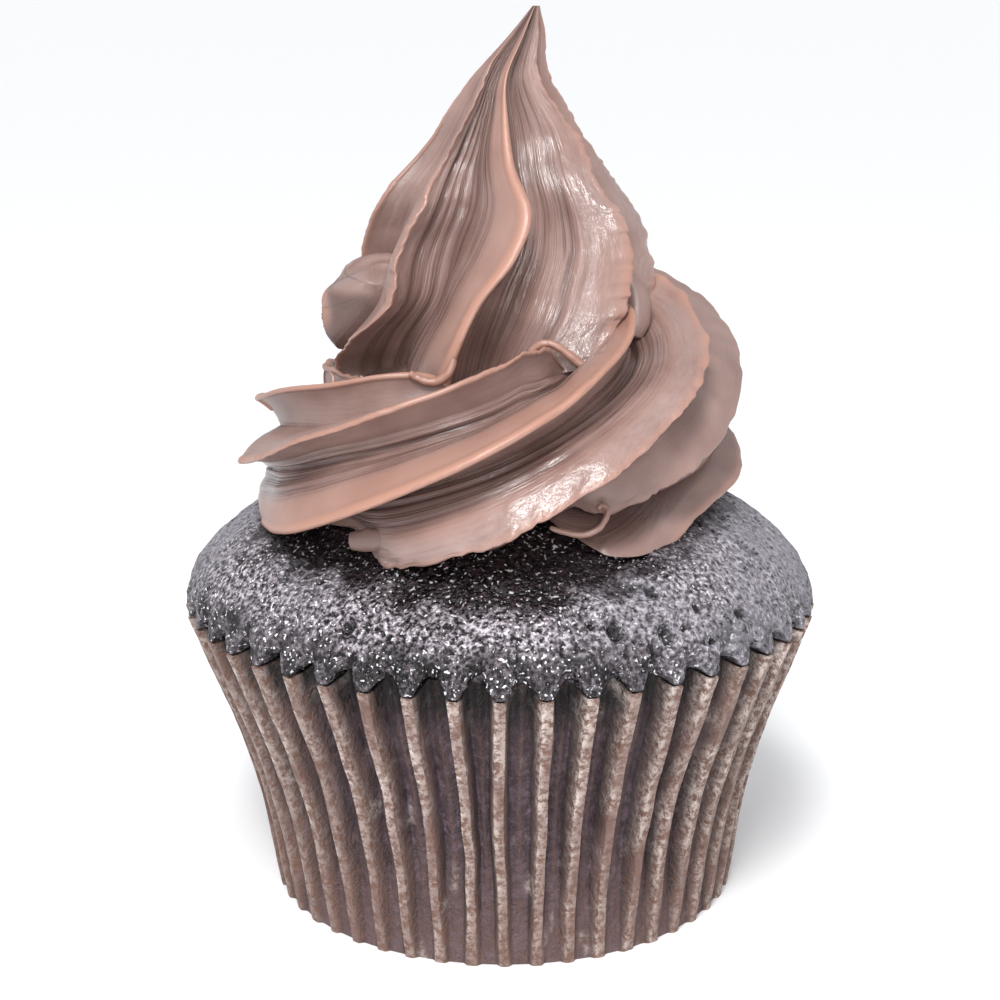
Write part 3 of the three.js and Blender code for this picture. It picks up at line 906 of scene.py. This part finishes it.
@dataclass
class StarPlace:
    """Points of the star's section.

    start is the lobe that each point starts from and share its share of that lobe; ridge is its
    height up the ridge of the lobe that it belongs to; turn is its angle in lobes, and run the way
    along the surface in lobes.
    """

    start: Grid
    share: Grid
    ridge: Grid
    lobe: Grid
    turn: Grid
    run: Grid


def pushed_out(across: Grid, up: Grid, relief: Grid) -> Tuple[Grid, Grid]:
    """Moves the points of closed sections square to their outline.

    Args:
        across, up: the sections, one a row, running anticlockwise with the last point on the first.
        relief: how far each point moves outwards.
    Returns:
        The moved points.
    """
    def slope(value: Grid) -> Grid:
        """The change over the two neighbours."""
        ahead = np.concatenate([value[:, 1:], value[:, 1:2]], axis=1)
        behind = np.concatenate([value[:, -2:-1], value[:, :-1]], axis=1)
        return ahead - behind
    run, rise = slope(across), slope(up)
    length = np.hypot(run, rise) + 1e-9
    return across + relief * rise / length, up - relief * run / length


def nudged(nudges: Sequence[Nudge], lobes: int, lobe: Grid, place: Grid, what: str) -> Grid:
    """The sum of the nudges that reach each point."""
    total = np.zeros(np.broadcast(lobe, place).shape)
    for nudge in nudges:
        amount = getattr(nudge, what)
        if amount:
            total += amount * bump(place, nudge.place, nudge.width) * ((lobe - nudge.lobe) % lobes == 0)
    return total


@dataclass(frozen=True)
class Stretch:
    """One length of the rope: its bearings, the degrees between its rings and its points a lobe."""

    name: str
    start: float
    end: float
    step: float
    samples: int


@dataclass(frozen=True)
class Curl:
    """A thin rolled lip or a small dab of frosting.

    path is its places and its radius at each, in mm; flatness is its thickness against its width,
    and the other numbers are how much painted glow of light through it, torn grain and painted
    shade it has.
    """

    name: str
    path: Sequence[Tuple[float, float, float, float]]
    painted_glow: float = 0.7
    flatness: float = 1.0
    grain: float = 0.0
    # Painted shade on the strand.
    dark: float = 0.0

    def form(self, noise: Noise) -> Form:
        """The form of a round strand along the path, rounded off at both ends."""
        stations = np.arange(len(self.path))
        tracks = [Track(stations, values) for values in zip(*self.path)]

        def shape(round_share: Grid, along_share: Grid) -> Shaped:
            """The strand's surface."""
            last = len(self.path) - 1
            way = 0.5 * last * (1 - np.cos(math.pi * along_share))
            x, y, z, radius = [track(way) for track in tracks]
            middle = np.stack([x, y, z], -1)
            tangent = np.stack([track(way + 0.05) - track(way - 0.05) for track in tracks[:3]], -1)
            tangent = tangent / (np.linalg.norm(tangent, axis=-1, keepdims=True) + 1e-9)
            side = np.cross(tangent, np.array([0.0, -1.0, 0.2]))
            side = side / (np.linalg.norm(side, axis=-1, keepdims=True) + 1e-9)
            front = np.cross(side, tangent)
            taper = np.sqrt(clamp01(np.sin(math.pi * along_share) * 3.0))
            angle = round_share * FULL_TURN
            wobble = 1 + 0.12 * noise.at(way * 2.5, np.cos(angle) * 0.8, np.sin(angle) * 0.8)
            reach = (radius * taper * wobble)[..., None]
            points = (middle + reach * (np.cos(angle)[..., None] * side
                                        + self.flatness * np.sin(angle)[..., None] * front))
            marks = {"torn": self.grain, "combed": 0.4 * self.painted_glow, "painted_shade": self.dark, "painted_glow": self.painted_glow}
            return Shaped(points, np.stack([round_share * 3, way * 2], -1), marks)
        return shape


@dataclass
class Frosting:
    """The swirl: one rope from the nozzle, nearly twice round the dome, and the peak it is pulled
    into.
    """

    sponge: Sponge
    star: Star = field(default_factory=Star)
    offset: float = 0.45
    spread: float = 1.14
    lumpiness: float = 0.3
    core: float = 0.6
    rope_width: float = 12.2
    peak_width: float = 14.0
    tooth: float = 0.55
    comb_depth: float = 0.3
    bead: float = 0.26
    rope_combed: Tuple[float, float] = (0.22, 0.82)
    peak_combed: Tuple[float, float] = (0.18, 0.9)
    # The rope: bearing in degrees from +X, distance of its middle from the axis, height of its
    # middle, radius to the ridges, and how far the star has rolled.
    rope: Sequence[Tuple[float, float, float, float, float]] = (
        (283, 15.4, 47.7, 9.6, -258.5), (340, 15.3, 47.2, 9.6, -214), (400, 15.8, 47.7, 9.3, -160),
        (470, 17.7, 48.0, 8.9, -106), (540, 19.9, 49.0, 9.0, -60), (580, 19.8, 50.0, 10.0, -30),
        (620, 19.4, 51.5, 10.8, 15), (660, 16.1, 54.2, 10.9, 58), (700, 14.0, 56.2, 10.6, 99),
        (740, 13.7, 57.8, 10.9, 138), (790, 13.4, 59.9, 10.9, 188), (840, 12.3, 62.0, 9.6, 244),
        (880, 12.6, 64.4, 7.3, 293), (905, 14.0, 64.4, 5.7, 316))
    # Where the tail swells into a plain lobe, in degrees, and its radius against the star's.
    plump: Tuple[float, float] = (820, 866)
    plump_radius: float = 0.9
    stretches: Sequence[Stretch] = (
        Stretch("rope_start", 283, 470, 1.4, 44), Stretch("rope_back_left", 470, 540, 0.9, 66),
        Stretch("rope_front", 540, 720, 1.0, 70), Stretch("rope_back_right", 720, 790, 0.9, 66),
        Stretch("tucked_tail", 790, 897, 1.1, 56))
    plug_lap: float = 7.0
    end_lap: float = 20.0
    end_lift: float = 3.4
    end_rows: int = 18
    plug_share: float = 0.8
    plug_rows: int = 6
    start_taper: float = 13.0
    start_blunt: float = 1.5
    lump_width: float = 8.0
    rope_seed: float = 2.0
    peak_seed: float = 20.0
    rope_nudges: Sequence[Nudge] = (
        Nudge(-1, 588, 12, -3.6), Nudge(1, 540, 14, -2.4), Nudge(1, 668, 16, -3.2),
        Nudge(2, 549, 14, -0.5), Nudge(1, 566, 11, -1.2), Nudge(0, 562, 10, -0.6),
        Nudge(2, 640, 20, -1.6), Nudge(-2, 315, 60, -4.5), Nudge(3, 300, 60, -1.5),
        Nudge(2, 655, 14, -2.6), Nudge(2, 620, 13, -3.0), Nudge(1, 656, 8, -2.5),
        Nudge(-2, 641, 12, -6.0, 8), Nudge(-2, 666, 20, -1.1, 3), Nudge(-3, 298, 15, 2.7),
        Nudge(-3, 332, 20, -1.9), Nudge(-3, 328, 40, sink=4.4), Nudge(-3, 675, 32, sink=2.0),
        Nudge(-1, 600, 50, sink=1.5))
    # The peak: height, how far its middle leans along X, radius, bearing of its front ridge.
    peak: Sequence[Tuple[float, float, float, float]] = (
        (58, -1.5, 16.2, 253), (63, -1.2, 17.0, 257.5), (68, -0.3, 16.6, 262), (72.5, 0.4, 15.2, 272),
        (77, 0.5, 12.9, 278), (81, 0.5, 9.6, 271), (85.3, 0.4, 6.7, 267.5), (89.3, 0.6, 4.1, 264),
        (93.4, 2.3, 2.0, 258), (96.5, 3.3, 0.4, 255))
    foot: Pairs = (
        (0, 65.5), (45, 67), (100, 68), (155, 69), (174, 66), (187, 57.8), (255, 58), (295, 60.4),
        (320, 62), (335, 62.8), (360, 65.5))
    underside: Pairs = ((0.45, 2.0), (0.8, 0.6), (0.94, -0.1))
    peak_nudges: Sequence[Nudge] = (
        Nudge(1, 58, 3, 0.6, -15), Nudge(1, 67, 4, 0, 18), Nudge(1, 88, 5, 0, 20),
        Nudge(6, 67, 5, 0.3, 8), Nudge(6, 77.5, 4, 0, -7), Nudge(6, 84, 4, 0.2, 16),
        Nudge(2, 72, 5, 0.8, -4), Nudge(5, 73, 5, 0.6, 4))
    peak_rows: int = 196
    peak_samples: int = 70
    core_side: Pairs = ((15, 38), (15, 58), (9, 60), (8, 70))
    core_columns: int = 48
    curl_columns: int = 18
    curl_rows: int = 24
    curls: Sequence[Curl] = (
        Curl("front_foot_curl", (
            (-4.6, -16.2, 63.4, 0.3), (-4.7, -16.5, 62.2, 0.4), (-5.2, -16.8, 61.0, 0.45),
            (-6.3, -16.8, 60.2, 0.45), (-7.5, -16.7, 60.2, 0.45), (-8.4, -16.7, 60.6, 0.4),
            (-9.1, -16.8, 61.1, 0.3))),
        Curl("right_foot_scroll", (
            (10.0, -14.6, 61.9, 0.4), (9.1, -14.7, 61.3, 0.45), (8.1, -14.7, 61.6, 0.45),
            (7.1, -14.6, 62.4, 0.45), (6.0, -14.5, 63.2, 0.4), (4.9, -14.3, 63.6, 0.4),
            (3.9, -14.2, 63.4, 0.4), (3.2, -14.2, 62.7, 0.4), (3.4, -14.4, 62.0, 0.4),
            (4.2, -14.7, 61.8, 0.4), (4.7, -14.9, 62.3, 0.35), (4.3, -15.0, 62.7, 0.3))),
        Curl("tail_ring_curl", (
            (4.9, -24.0, 47.0, 0.25), (6.3, -24.2, 46.6, 0.32), (8.2, -24.2, 46.3, 0.34),
            (9.7, -23.9, 46.8, 0.32), (10.4, -23.4, 47.6, 0.3), (10.7, -22.9, 48.5, 0.3),
            (10.2, -22.6, 48.9, 0.3), (9.7, -22.6, 48.5, 0.25)), 0.3, 1.0, 0.0, 0.25),
        Curl("smeared_dab", (
            (-15.0, -21.6, 44.9, 0.9), (-13.4, -22.3, 45.2, 1.2), (-12.0, -22.8, 45.4, 1.1),
            (-10.6, -23.2, 45.6, 0.9)), 0.0, 0.6, 0.1, 0.45),
        Curl("squeezed_dab", (
            (14.0, -6.0, 62.6, 1.0), (14.4, -5.4, 64.6, 1.5), (14.3, -4.2, 66.6, 1.5),
            (13.4, -3.0, 68.6, 1.0)), 0.0, 0.8, 0.15, 0.1),
    )
    rope_ridges: Sequence[Ridge] = (
        Ridge(Edge.SMOOTH, 0.0, 1.0, 0.55), Ridge(Edge.WAVY, 0.3, 0.15), Ridge(Edge.SMOOTH, 0.0, 0.5),
        Ridge(Edge.WAVY, 0.5, 0.6), Ridge(Edge.WAVY, 0.4, 0.5, 0.1), Ridge(Edge.TORN, 0.2, 0.1, 0.0),
        Ridge(Edge.TORN, 1.0, 1.0, 0.5))
    peak_ridges: Sequence[Ridge] = (
        Ridge(Edge.SMOOTH, 0.0, 1.0), Ridge(Edge.TORN, 0.6, 0.5), Ridge(Edge.WAVY, 0.3, 0.4),
        Ridge(Edge.WAVY, 0.5, 0.8), Ridge(Edge.WAVY, 0.5, 0.8), Ridge(Edge.TORN, 0.7, 0.6),
        Ridge(Edge.TORN, 1.0, 1.0))

    def __post_init__(self) -> None:
        """Prepares the tracks and the unevenness."""
        columns = list(zip(*self.rope))
        self.reach, self.level, self.girth, self.roll = [Track(columns[0], values)
                                                         for values in columns[1:]]
        heights, *rest = list(zip(*self.peak))
        self.lean, self.peak_girth, self.peak_bearing = [Track(heights, values) for values in rest]
        self.foot_height = Track(*zip(*self.foot))
        self.noise = Noise(37)

    @staticmethod
    def lumps(along: Grid, across: Grid) -> Grid:
        """Slow uneven swelling over two directions in millimetres."""
        return (0.5 * np.sin(along / 2.3 + 1.3 * np.sin(across / 3.1))
                + 0.3 * np.sin(across / 1.9 - along / 5.7 + 2) + 0.2 * np.sin(along / 1.1 + across / 1.4))

    def surface(self, along: Grid, at: StarPlace, width: float, ridges: Sequence[Ridge],
                combed: Tuple[float, float], seed: float) -> Tuple[Grid, Grid, Marks]:
        """The fine relief of the piped surface.

        Args:
            along: the place along the ridges in mm.
            at: the place on the star.
            width: mm along the surface from one ridge to the next.
            ridges: how each ridge left the nozzle.
            combed: shares of the lobe between which the nozzle's teeth show.
            seed: tells one part's unevenness from another's.
        Returns:
            The relief square to the surface and along the spoke in mm, and the marks that the
            material reads.
        """
        noise = self.noise.at
        ridge, lobe = at.ridge, at.lobe
        is_gentle = at.share < self.star.valley
        traits = zip(*[(one.edge.value, one.grain, one.glow, one.combs) for one in ridges])
        edges, grains, glows, combs_after = [np.array(values) for values in traits]
        edge, grainy, shine = edges[lobe], grains[lobe], glows[lobe]
        combing = (combs_after[at.start.astype(int)]
                   * ease(combed[0] - 0.1, combed[0] + 0.1, at.share)
                   * ease(combed[1] + 0.06, combed[1] - 0.06, at.share))

        def relief_at(run: Grid) -> Grid:
            """Relief, tornness and painted shade in the comb troughs, for places in lobes."""
            around = run * width
            drift = 0.8 * noise(along / 22, seed + 5.5, around / 7)
            teeth = noise(around / self.tooth + drift, along / 34, seed + 0.5)
            fine_teeth = noise(around / self.tooth * 2.1 + 2 * drift, along / 20, seed + 11.5)
            combs = np.tanh(1.8 * (0.8 * teeth + 0.35 * fine_teeth))
            patchy = clamp01(0.8 + 0.6 * noise(along / 12, around / 3, seed + 14.5))
            torn_here = 0.6 + 0.9 * noise(along / 7, around / 4, seed + 0.5)
            torn = clamp01(grainy * ease(0.5, 0.8, ridge) * torn_here)
            smears = noise(along / 1.9, around / 0.75, seed + 0.5, octaves=2)
            grain = torn * (0.14 * smears + 0.05 * noise(along / 0.6, around / 0.6, seed + 3.5))
            swell = 0.18 * noise(along / 7, around / 5, seed + 9.5)
            # The last row is painted shade where the comb teeth dip.
            return np.stack([self.comb_depth * patchy * combing * combs + grain + swell, torn,
                             combing * patchy * clamp01(-1.2 * combs)])

        relief, torn, painted_shade = self.star.seamless(relief_at, at.run)
        lip = ease(0.9, 0.985, ridge)
        ruffle = (0.34 * noise(along / 0.85, lobe * 5.3 + seed, 0.5, octaves=2)
                  + 0.3 * noise(along / 2.7, lobe * 7.1 + seed))
        strength = clamp01(0.7 + 0.6 * noise(along / 9, lobe * 3.7 + seed))
        ragged = edge * ease(0.84, 0.98, ridge) * ruffle * strength
        # Painted glow of light coming through the lips and onto the gentle faces.
        glow = shine * is_gentle * ease(0.1, 0.6, ridge) * (1 - combing) * (1 - torn)
        painted_glow = clamp01(0.7 * lip * clamp01(0.3 + 2.3 * shine) * (1 - 0.35 * edge) + glow)
        marks = {"torn": torn, "combed": combing, "painted_shade": painted_shade, "painted_glow": painted_glow}
        return relief + self.bead * lip * (1 - 0.6 * edge), ragged, marks

    def twist(self, nudges: Sequence[Nudge], at: StarPlace, place: Grid) -> Grid:
        """How many degrees the nudges turn each point, shared between the ridges beside it."""
        behind, ahead = [nudged(nudges, self.star.lobes, lobe, place, "turn")
                         for lobe in (at.start, at.start + 1)]
        return mix(behind, ahead, at.share)

    def rope_rings(self, stretch: Stretch) -> Tuple[Grid, Grid]:
        """Where the rings of one stretch of the rope lie.

        Args:
            stretch: which one.
        Returns:
            The bearing of each ring, and its size against the full one: rounded off where the
            stretch plugs into its neighbours and where the rope ends.
        """
        count = int(round((stretch.end - stretch.start) / stretch.step))
        laps = np.linspace(0, 1, self.plug_rows + 1)[1:]
        plug_sizes = mix(self.plug_share, 1, np.sqrt(1 - laps ** 2))
        end_turn, end_sizes = self.plug_lap * laps, plug_sizes
        if stretch is self.stretches[-1]:
            rounding = np.linspace(0, 0.995, self.end_rows + 1)[1:] ** 0.6
            end_turn, end_sizes = self.end_lap * rounding, np.sqrt(1 - rounding ** 2)
        bearings = np.append(np.linspace(stretch.start, stretch.end, count + 1), stretch.end + end_turn)
        sizes = np.append(np.ones(count + 1), end_sizes)
        if stretch.start > self.rope[0][0]:
            bearings = np.insert(bearings, 0, (stretch.start - self.plug_lap * laps)[::-1])
            sizes = np.insert(sizes, 0, plug_sizes[::-1])
        return bearings, sizes

    @staticmethod
    def extra_marks(sinks: Grid, ridge: Grid, plump: Grid, up: Grid, facing: Grid, size: Grid) -> Marks:
        """What sunk valleys and the plump tail add to the marks.

        Args:
            sinks: how deep the valley is sunk in mm.
            ridge: the place's height up its ridge, 0 .. 1.
            plump: how far the rope has swollen into the plain tail, 0 .. 1.
            up: its height over the rope's middle in mm.
            facing: how far it faces away from the axis, -1 .. 1.
            size: the ring's size against the full one.
        Returns:
            Painted shade in a sunk slit and on the tail's lower face, a torn band along the tail whose pale
            grain paints a highlight, and a painted glow on the tail's outer rim.
        """
        # Painted shade in the slit under a ridge and on the tail's lower face; the torn band paints a
        # highlight; the rim gets a painted glow.
        slit = np.minimum(0.9, 0.35 * sinks) * ease(0.56 + 0.05 * sinks, 0.25 + 0.105 * sinks, ridge)
        return {"painted_shade": slit + 0.85 * plump * ease(3.4, 1.8, up) * ease(1.0, 0.85, facing * size),
                "torn": 0.7 * plump * bump(up, 3.7, 0.7),
                "painted_glow": 0.8 * plump * ease(0.84, 1.0, facing) * ease(0.8, 1.0, size)}

    def rope_form(self, bearings: Grid, sizes: Grid) -> Form:
        """The form of the rope through rings at these bearings and of these sizes."""
        plump_start, plump_end = self.plump

        def form(round_share: Grid, along_share: Grid) -> Shaped:
            """The stretch's surface."""
            row = np.rint(along_share * (len(bearings) - 1)).astype(int)
            bearing, size = bearings[row], sizes[row]
            reach, girth = self.reach(bearing), self.girth(bearing)
            at = self.star.around(round_share)
            swell = np.sqrt(clamp01((bearing - self.rope[0][0] + self.start_blunt) / self.start_taper))
            plump = clamp01((bearing - plump_start) / (plump_end - plump_start))
            twist = self.twist(self.rope_nudges, at, bearing)
            beta = np.radians(self.roll(bearing) + twist) + at.turn * self.star.step
            sloped = 1 - 0.09 * clamp01(np.cos(beta - math.radians(50))) ** 2
            factor = mix(1 - self.star.depth * (1 - at.ridge), self.plump_radius * sloped, plump)
            along = np.radians(bearing) * reach
            sinks = nudged(self.rope_nudges, self.star.lobes, at.start, bearing, "sink")
            strays = nudged(self.rope_nudges, self.star.lobes, at.lobe, bearing, "reach")
            relief, ragged, marks = self.surface(along, at, self.rope_width, self.rope_ridges,
                                                 self.rope_combed, self.rope_seed)
            lumps = self.star.seamless(lambda turned: self.lumps(along, turned * self.lump_width), at.turn)
            spoke = size * swell * (girth * factor + at.ridge * (1 - plump) * strays
                                    - (1 - at.ridge) * sinks + self.lumpiness * (1 + plump) * lumps
                                    + ragged * (1 - plump))
            across, up = pushed_out(self.spread * spoke * np.cos(beta), spoke * np.sin(beta),
                                    size * swell * relief * mix(1, 0.3, plump))
            up = up + self.end_lift * plump * (1 - size)
            extra = self.extra_marks(sinks, at.ridge, plump, up, np.cos(beta), size)
            marks = {name: clamp01(values * (1 - plump) + extra.get(name, 0))
                     for name, values in marks.items()}
            distance = reach + across
            kept = self.core + np.logaddexp(0, 2 * (distance - self.core)) / 2
            points = about_axis(kept, np.radians(bearing), self.level(bearing) + up, self.offset)
            return Shaped(points, np.stack([at.run * self.rope_width, along], -1), marks)
        return form

    def peak_form(self, round_share: Grid, along_share: Grid) -> Shaped:
        """The peak's surface from its turned-under edge to its tip."""
        hidden = len(self.underside)
        rows = along_share * self.peak_rows - hidden
        rise = clamp01(rows / (self.peak_rows - hidden))
        at = self.star.around(round_share)
        bottom, top = self.peak[0][0], self.peak[-1][0]
        bearing = (self.peak_bearing(bottom) - np.degrees(at.turn * self.star.step)) % 360
        level = mix(self.foot_height(bearing), top, rise)
        twist = self.twist(self.peak_nudges, at, level)
        angle = np.radians(self.peak_bearing(level) + twist) - at.turn * self.star.step
        girth = self.peak_girth(level)
        fade = clamp01(girth / 8)
        relief, ragged, marks = self.surface(level, at, self.peak_width, self.peak_ridges,
                                             self.peak_combed, self.peak_seed)
        lumps = self.star.seamless(lambda turned: self.lumps(level, turned * self.lump_width), at.turn)
        spoke = (girth * (1 - self.star.depth * (1 - at.ridge))
                 + at.ridge * nudged(self.peak_nudges, self.star.lobes, at.lobe, level, "reach")
                 + fade * (self.lumpiness * lumps + ragged))
        x, y = pushed_out(spoke * np.cos(angle), spoke * np.sin(angle), -fade * relief)
        shares = np.array([one for one, _ in self.underside] + [1.0])
        lifts = np.array([lift for _, lift in self.underside] + [0.0])
        ring = np.clip(np.rint(rows + hidden), 0, hidden).astype(int)
        shrink, lift = shares[ring], lifts[ring]
        points = np.stack([self.offset + mix(self.peak[0][1], self.lean(level) + x, shrink), y * shrink,
                           level + lift], -1)
        return Shaped(points, np.stack([at.run * self.peak_width, level], -1), marks)

    def core_form(self, round_share: Grid, along_share: Grid) -> Shaped:
        """The plug of frosting that the rope encloses."""
        row = np.rint(along_share * (len(self.core_side) - 1)).astype(int)
        radius, height = [np.array(values, float)[row] for values in zip(*self.core_side)]
        points = about_axis(radius, round_share * FULL_TURN, height, self.offset)
        return Shaped(points, points[..., :2], {"torn": 0, "combed": 0, "painted_shade": 0, "painted_glow": 0})

    def build(self) -> None:
        """Pipes the rope and the peak, sets them on the dome and lays the curls where they stuck."""
        finish = WhippedFrosting().material()
        for stretch in self.stretches:
            bearings, sizes = self.rope_rings(stretch)
            piece = laid_sheet(stretch.name, self.star.lobes * stretch.samples, len(bearings) - 1,
                               self.rope_form(bearings, sizes))
            if stretch.start == self.rope[0][0]:
                core = laid_sheet("core", self.core_columns, len(self.core_side) - 1, self.core_form)
                combine(piece, core, "UNION")
            combine(piece, self.sponge.cutter(), "DIFFERENCE")
            finish_piece(keep_largest_shell(piece), "frosting", finish)
        peak = laid_sheet("pulled_peak", self.star.lobes * self.peak_samples, self.peak_rows, self.peak_form)
        finish_piece(peak, "frosting", finish)
        for curl in self.curls:
            piece = laid_sheet(curl.name, self.curl_columns, self.curl_rows * (len(curl.path) - 1),
                               curl.form(self.noise))
            finish_piece(piece, "frosting", finish)


# ---- studio ------------------------------------------------------------------------------
@dataclass
class Studio:
    """A pale floor, soft light from above and the camera."""

    camera_distance: float = 0.2111
    camera_height: float = 0.101
    camera_pitch: float = 15.3
    lens: float = 70.96
    sensor: float = 36.0
    floor_size: float = 24.0
    sky: str = "#F6F8FC"
    sky_strength: float = 0.68
    sun_from: Place = (-0.13, -0.64, 0.76)
    sun_strength: float = 1.8
    sun_spread: float = 17.0
    floor_colour: str = "#F8F8F8"
    floor_roughness: float = 0.7
    # Soft square lights: name, place and side in metres, and watts.
    windows: Sequence[Tuple[str, Place, float, float]] = (
        ("window", (-0.04, -0.26, 0.42), 0.09, 0.6), ("front_window", (0.03, -0.46, 0.2), 0.07, 0.72))
    lit_place: Place = (0, 0, 0.06)

    def add_camera(self) -> None:
        """Adds the camera, looking down on the shown side."""
        bpy.ops.object.camera_add(location=(0, -self.camera_distance, self.camera_height),
                                  rotation=(math.radians(90 - self.camera_pitch), 0, 0))
        camera = bpy.context.object
        camera.name = "camera"
        camera.data.lens = self.lens
        camera.data.sensor_width = self.sensor
        camera.data.clip_start = 0.01
        bpy.context.scene.camera = camera

    def add_window(self, name: str, place: Place, size: float, watts: float) -> None:
        """Adds one square soft light that faces the cupcake."""
        bpy.ops.object.light_add(type="AREA", location=place)
        light = bpy.context.object
        light.name = name
        light.data.size = size
        light.data.energy = watts
        aim = Vector(self.lit_place) - Vector(place)
        light.rotation_euler = aim.to_track_quat("-Z", "Y").to_euler()

    def build(self) -> None:
        """Adds the floor, the lights and the camera."""
        bpy.ops.mesh.primitive_plane_add(size=self.floor_size, location=(0, 0, 0))
        floor = bpy.context.object
        floor.name = "floor"
        paint = Recipe("white studio floor")
        floor.data.materials.append(
            paint.finished(self.floor_colour, (), (), {"Roughness": self.floor_roughness}))
        world = bpy.data.worlds.new("studio")
        world.use_nodes = True
        background = world.node_tree.nodes["Background"]
        background.inputs["Color"].default_value = colour(self.sky)
        background.inputs["Strength"].default_value = self.sky_strength
        bpy.context.scene.world = world
        for window in self.windows:
            self.add_window(*window)
        bpy.ops.object.light_add(type="SUN", location=(0, 0, 1))
        sun = bpy.context.object
        sun.name = "soft_sun"
        sun.data.energy = self.sun_strength
        sun.data.angle = math.radians(self.sun_spread)
        sun.rotation_euler = (-Vector(self.sun_from)).to_track_quat("-Z", "Y").to_euler()
        self.add_camera()
        bpy.context.scene.view_settings.view_transform = "Standard"


def main() -> None:
    """Builds the cupcake and the studio round it."""
    logging.basicConfig(level=logging.INFO, format="%(name)s: %(message)s")
    case = PaperCase()
    case.build()
    sponge = Sponge(case)
    sponge.build()
    Frosting(sponge).build()
    Studio().build()


if __name__ == "__main__":
    main()
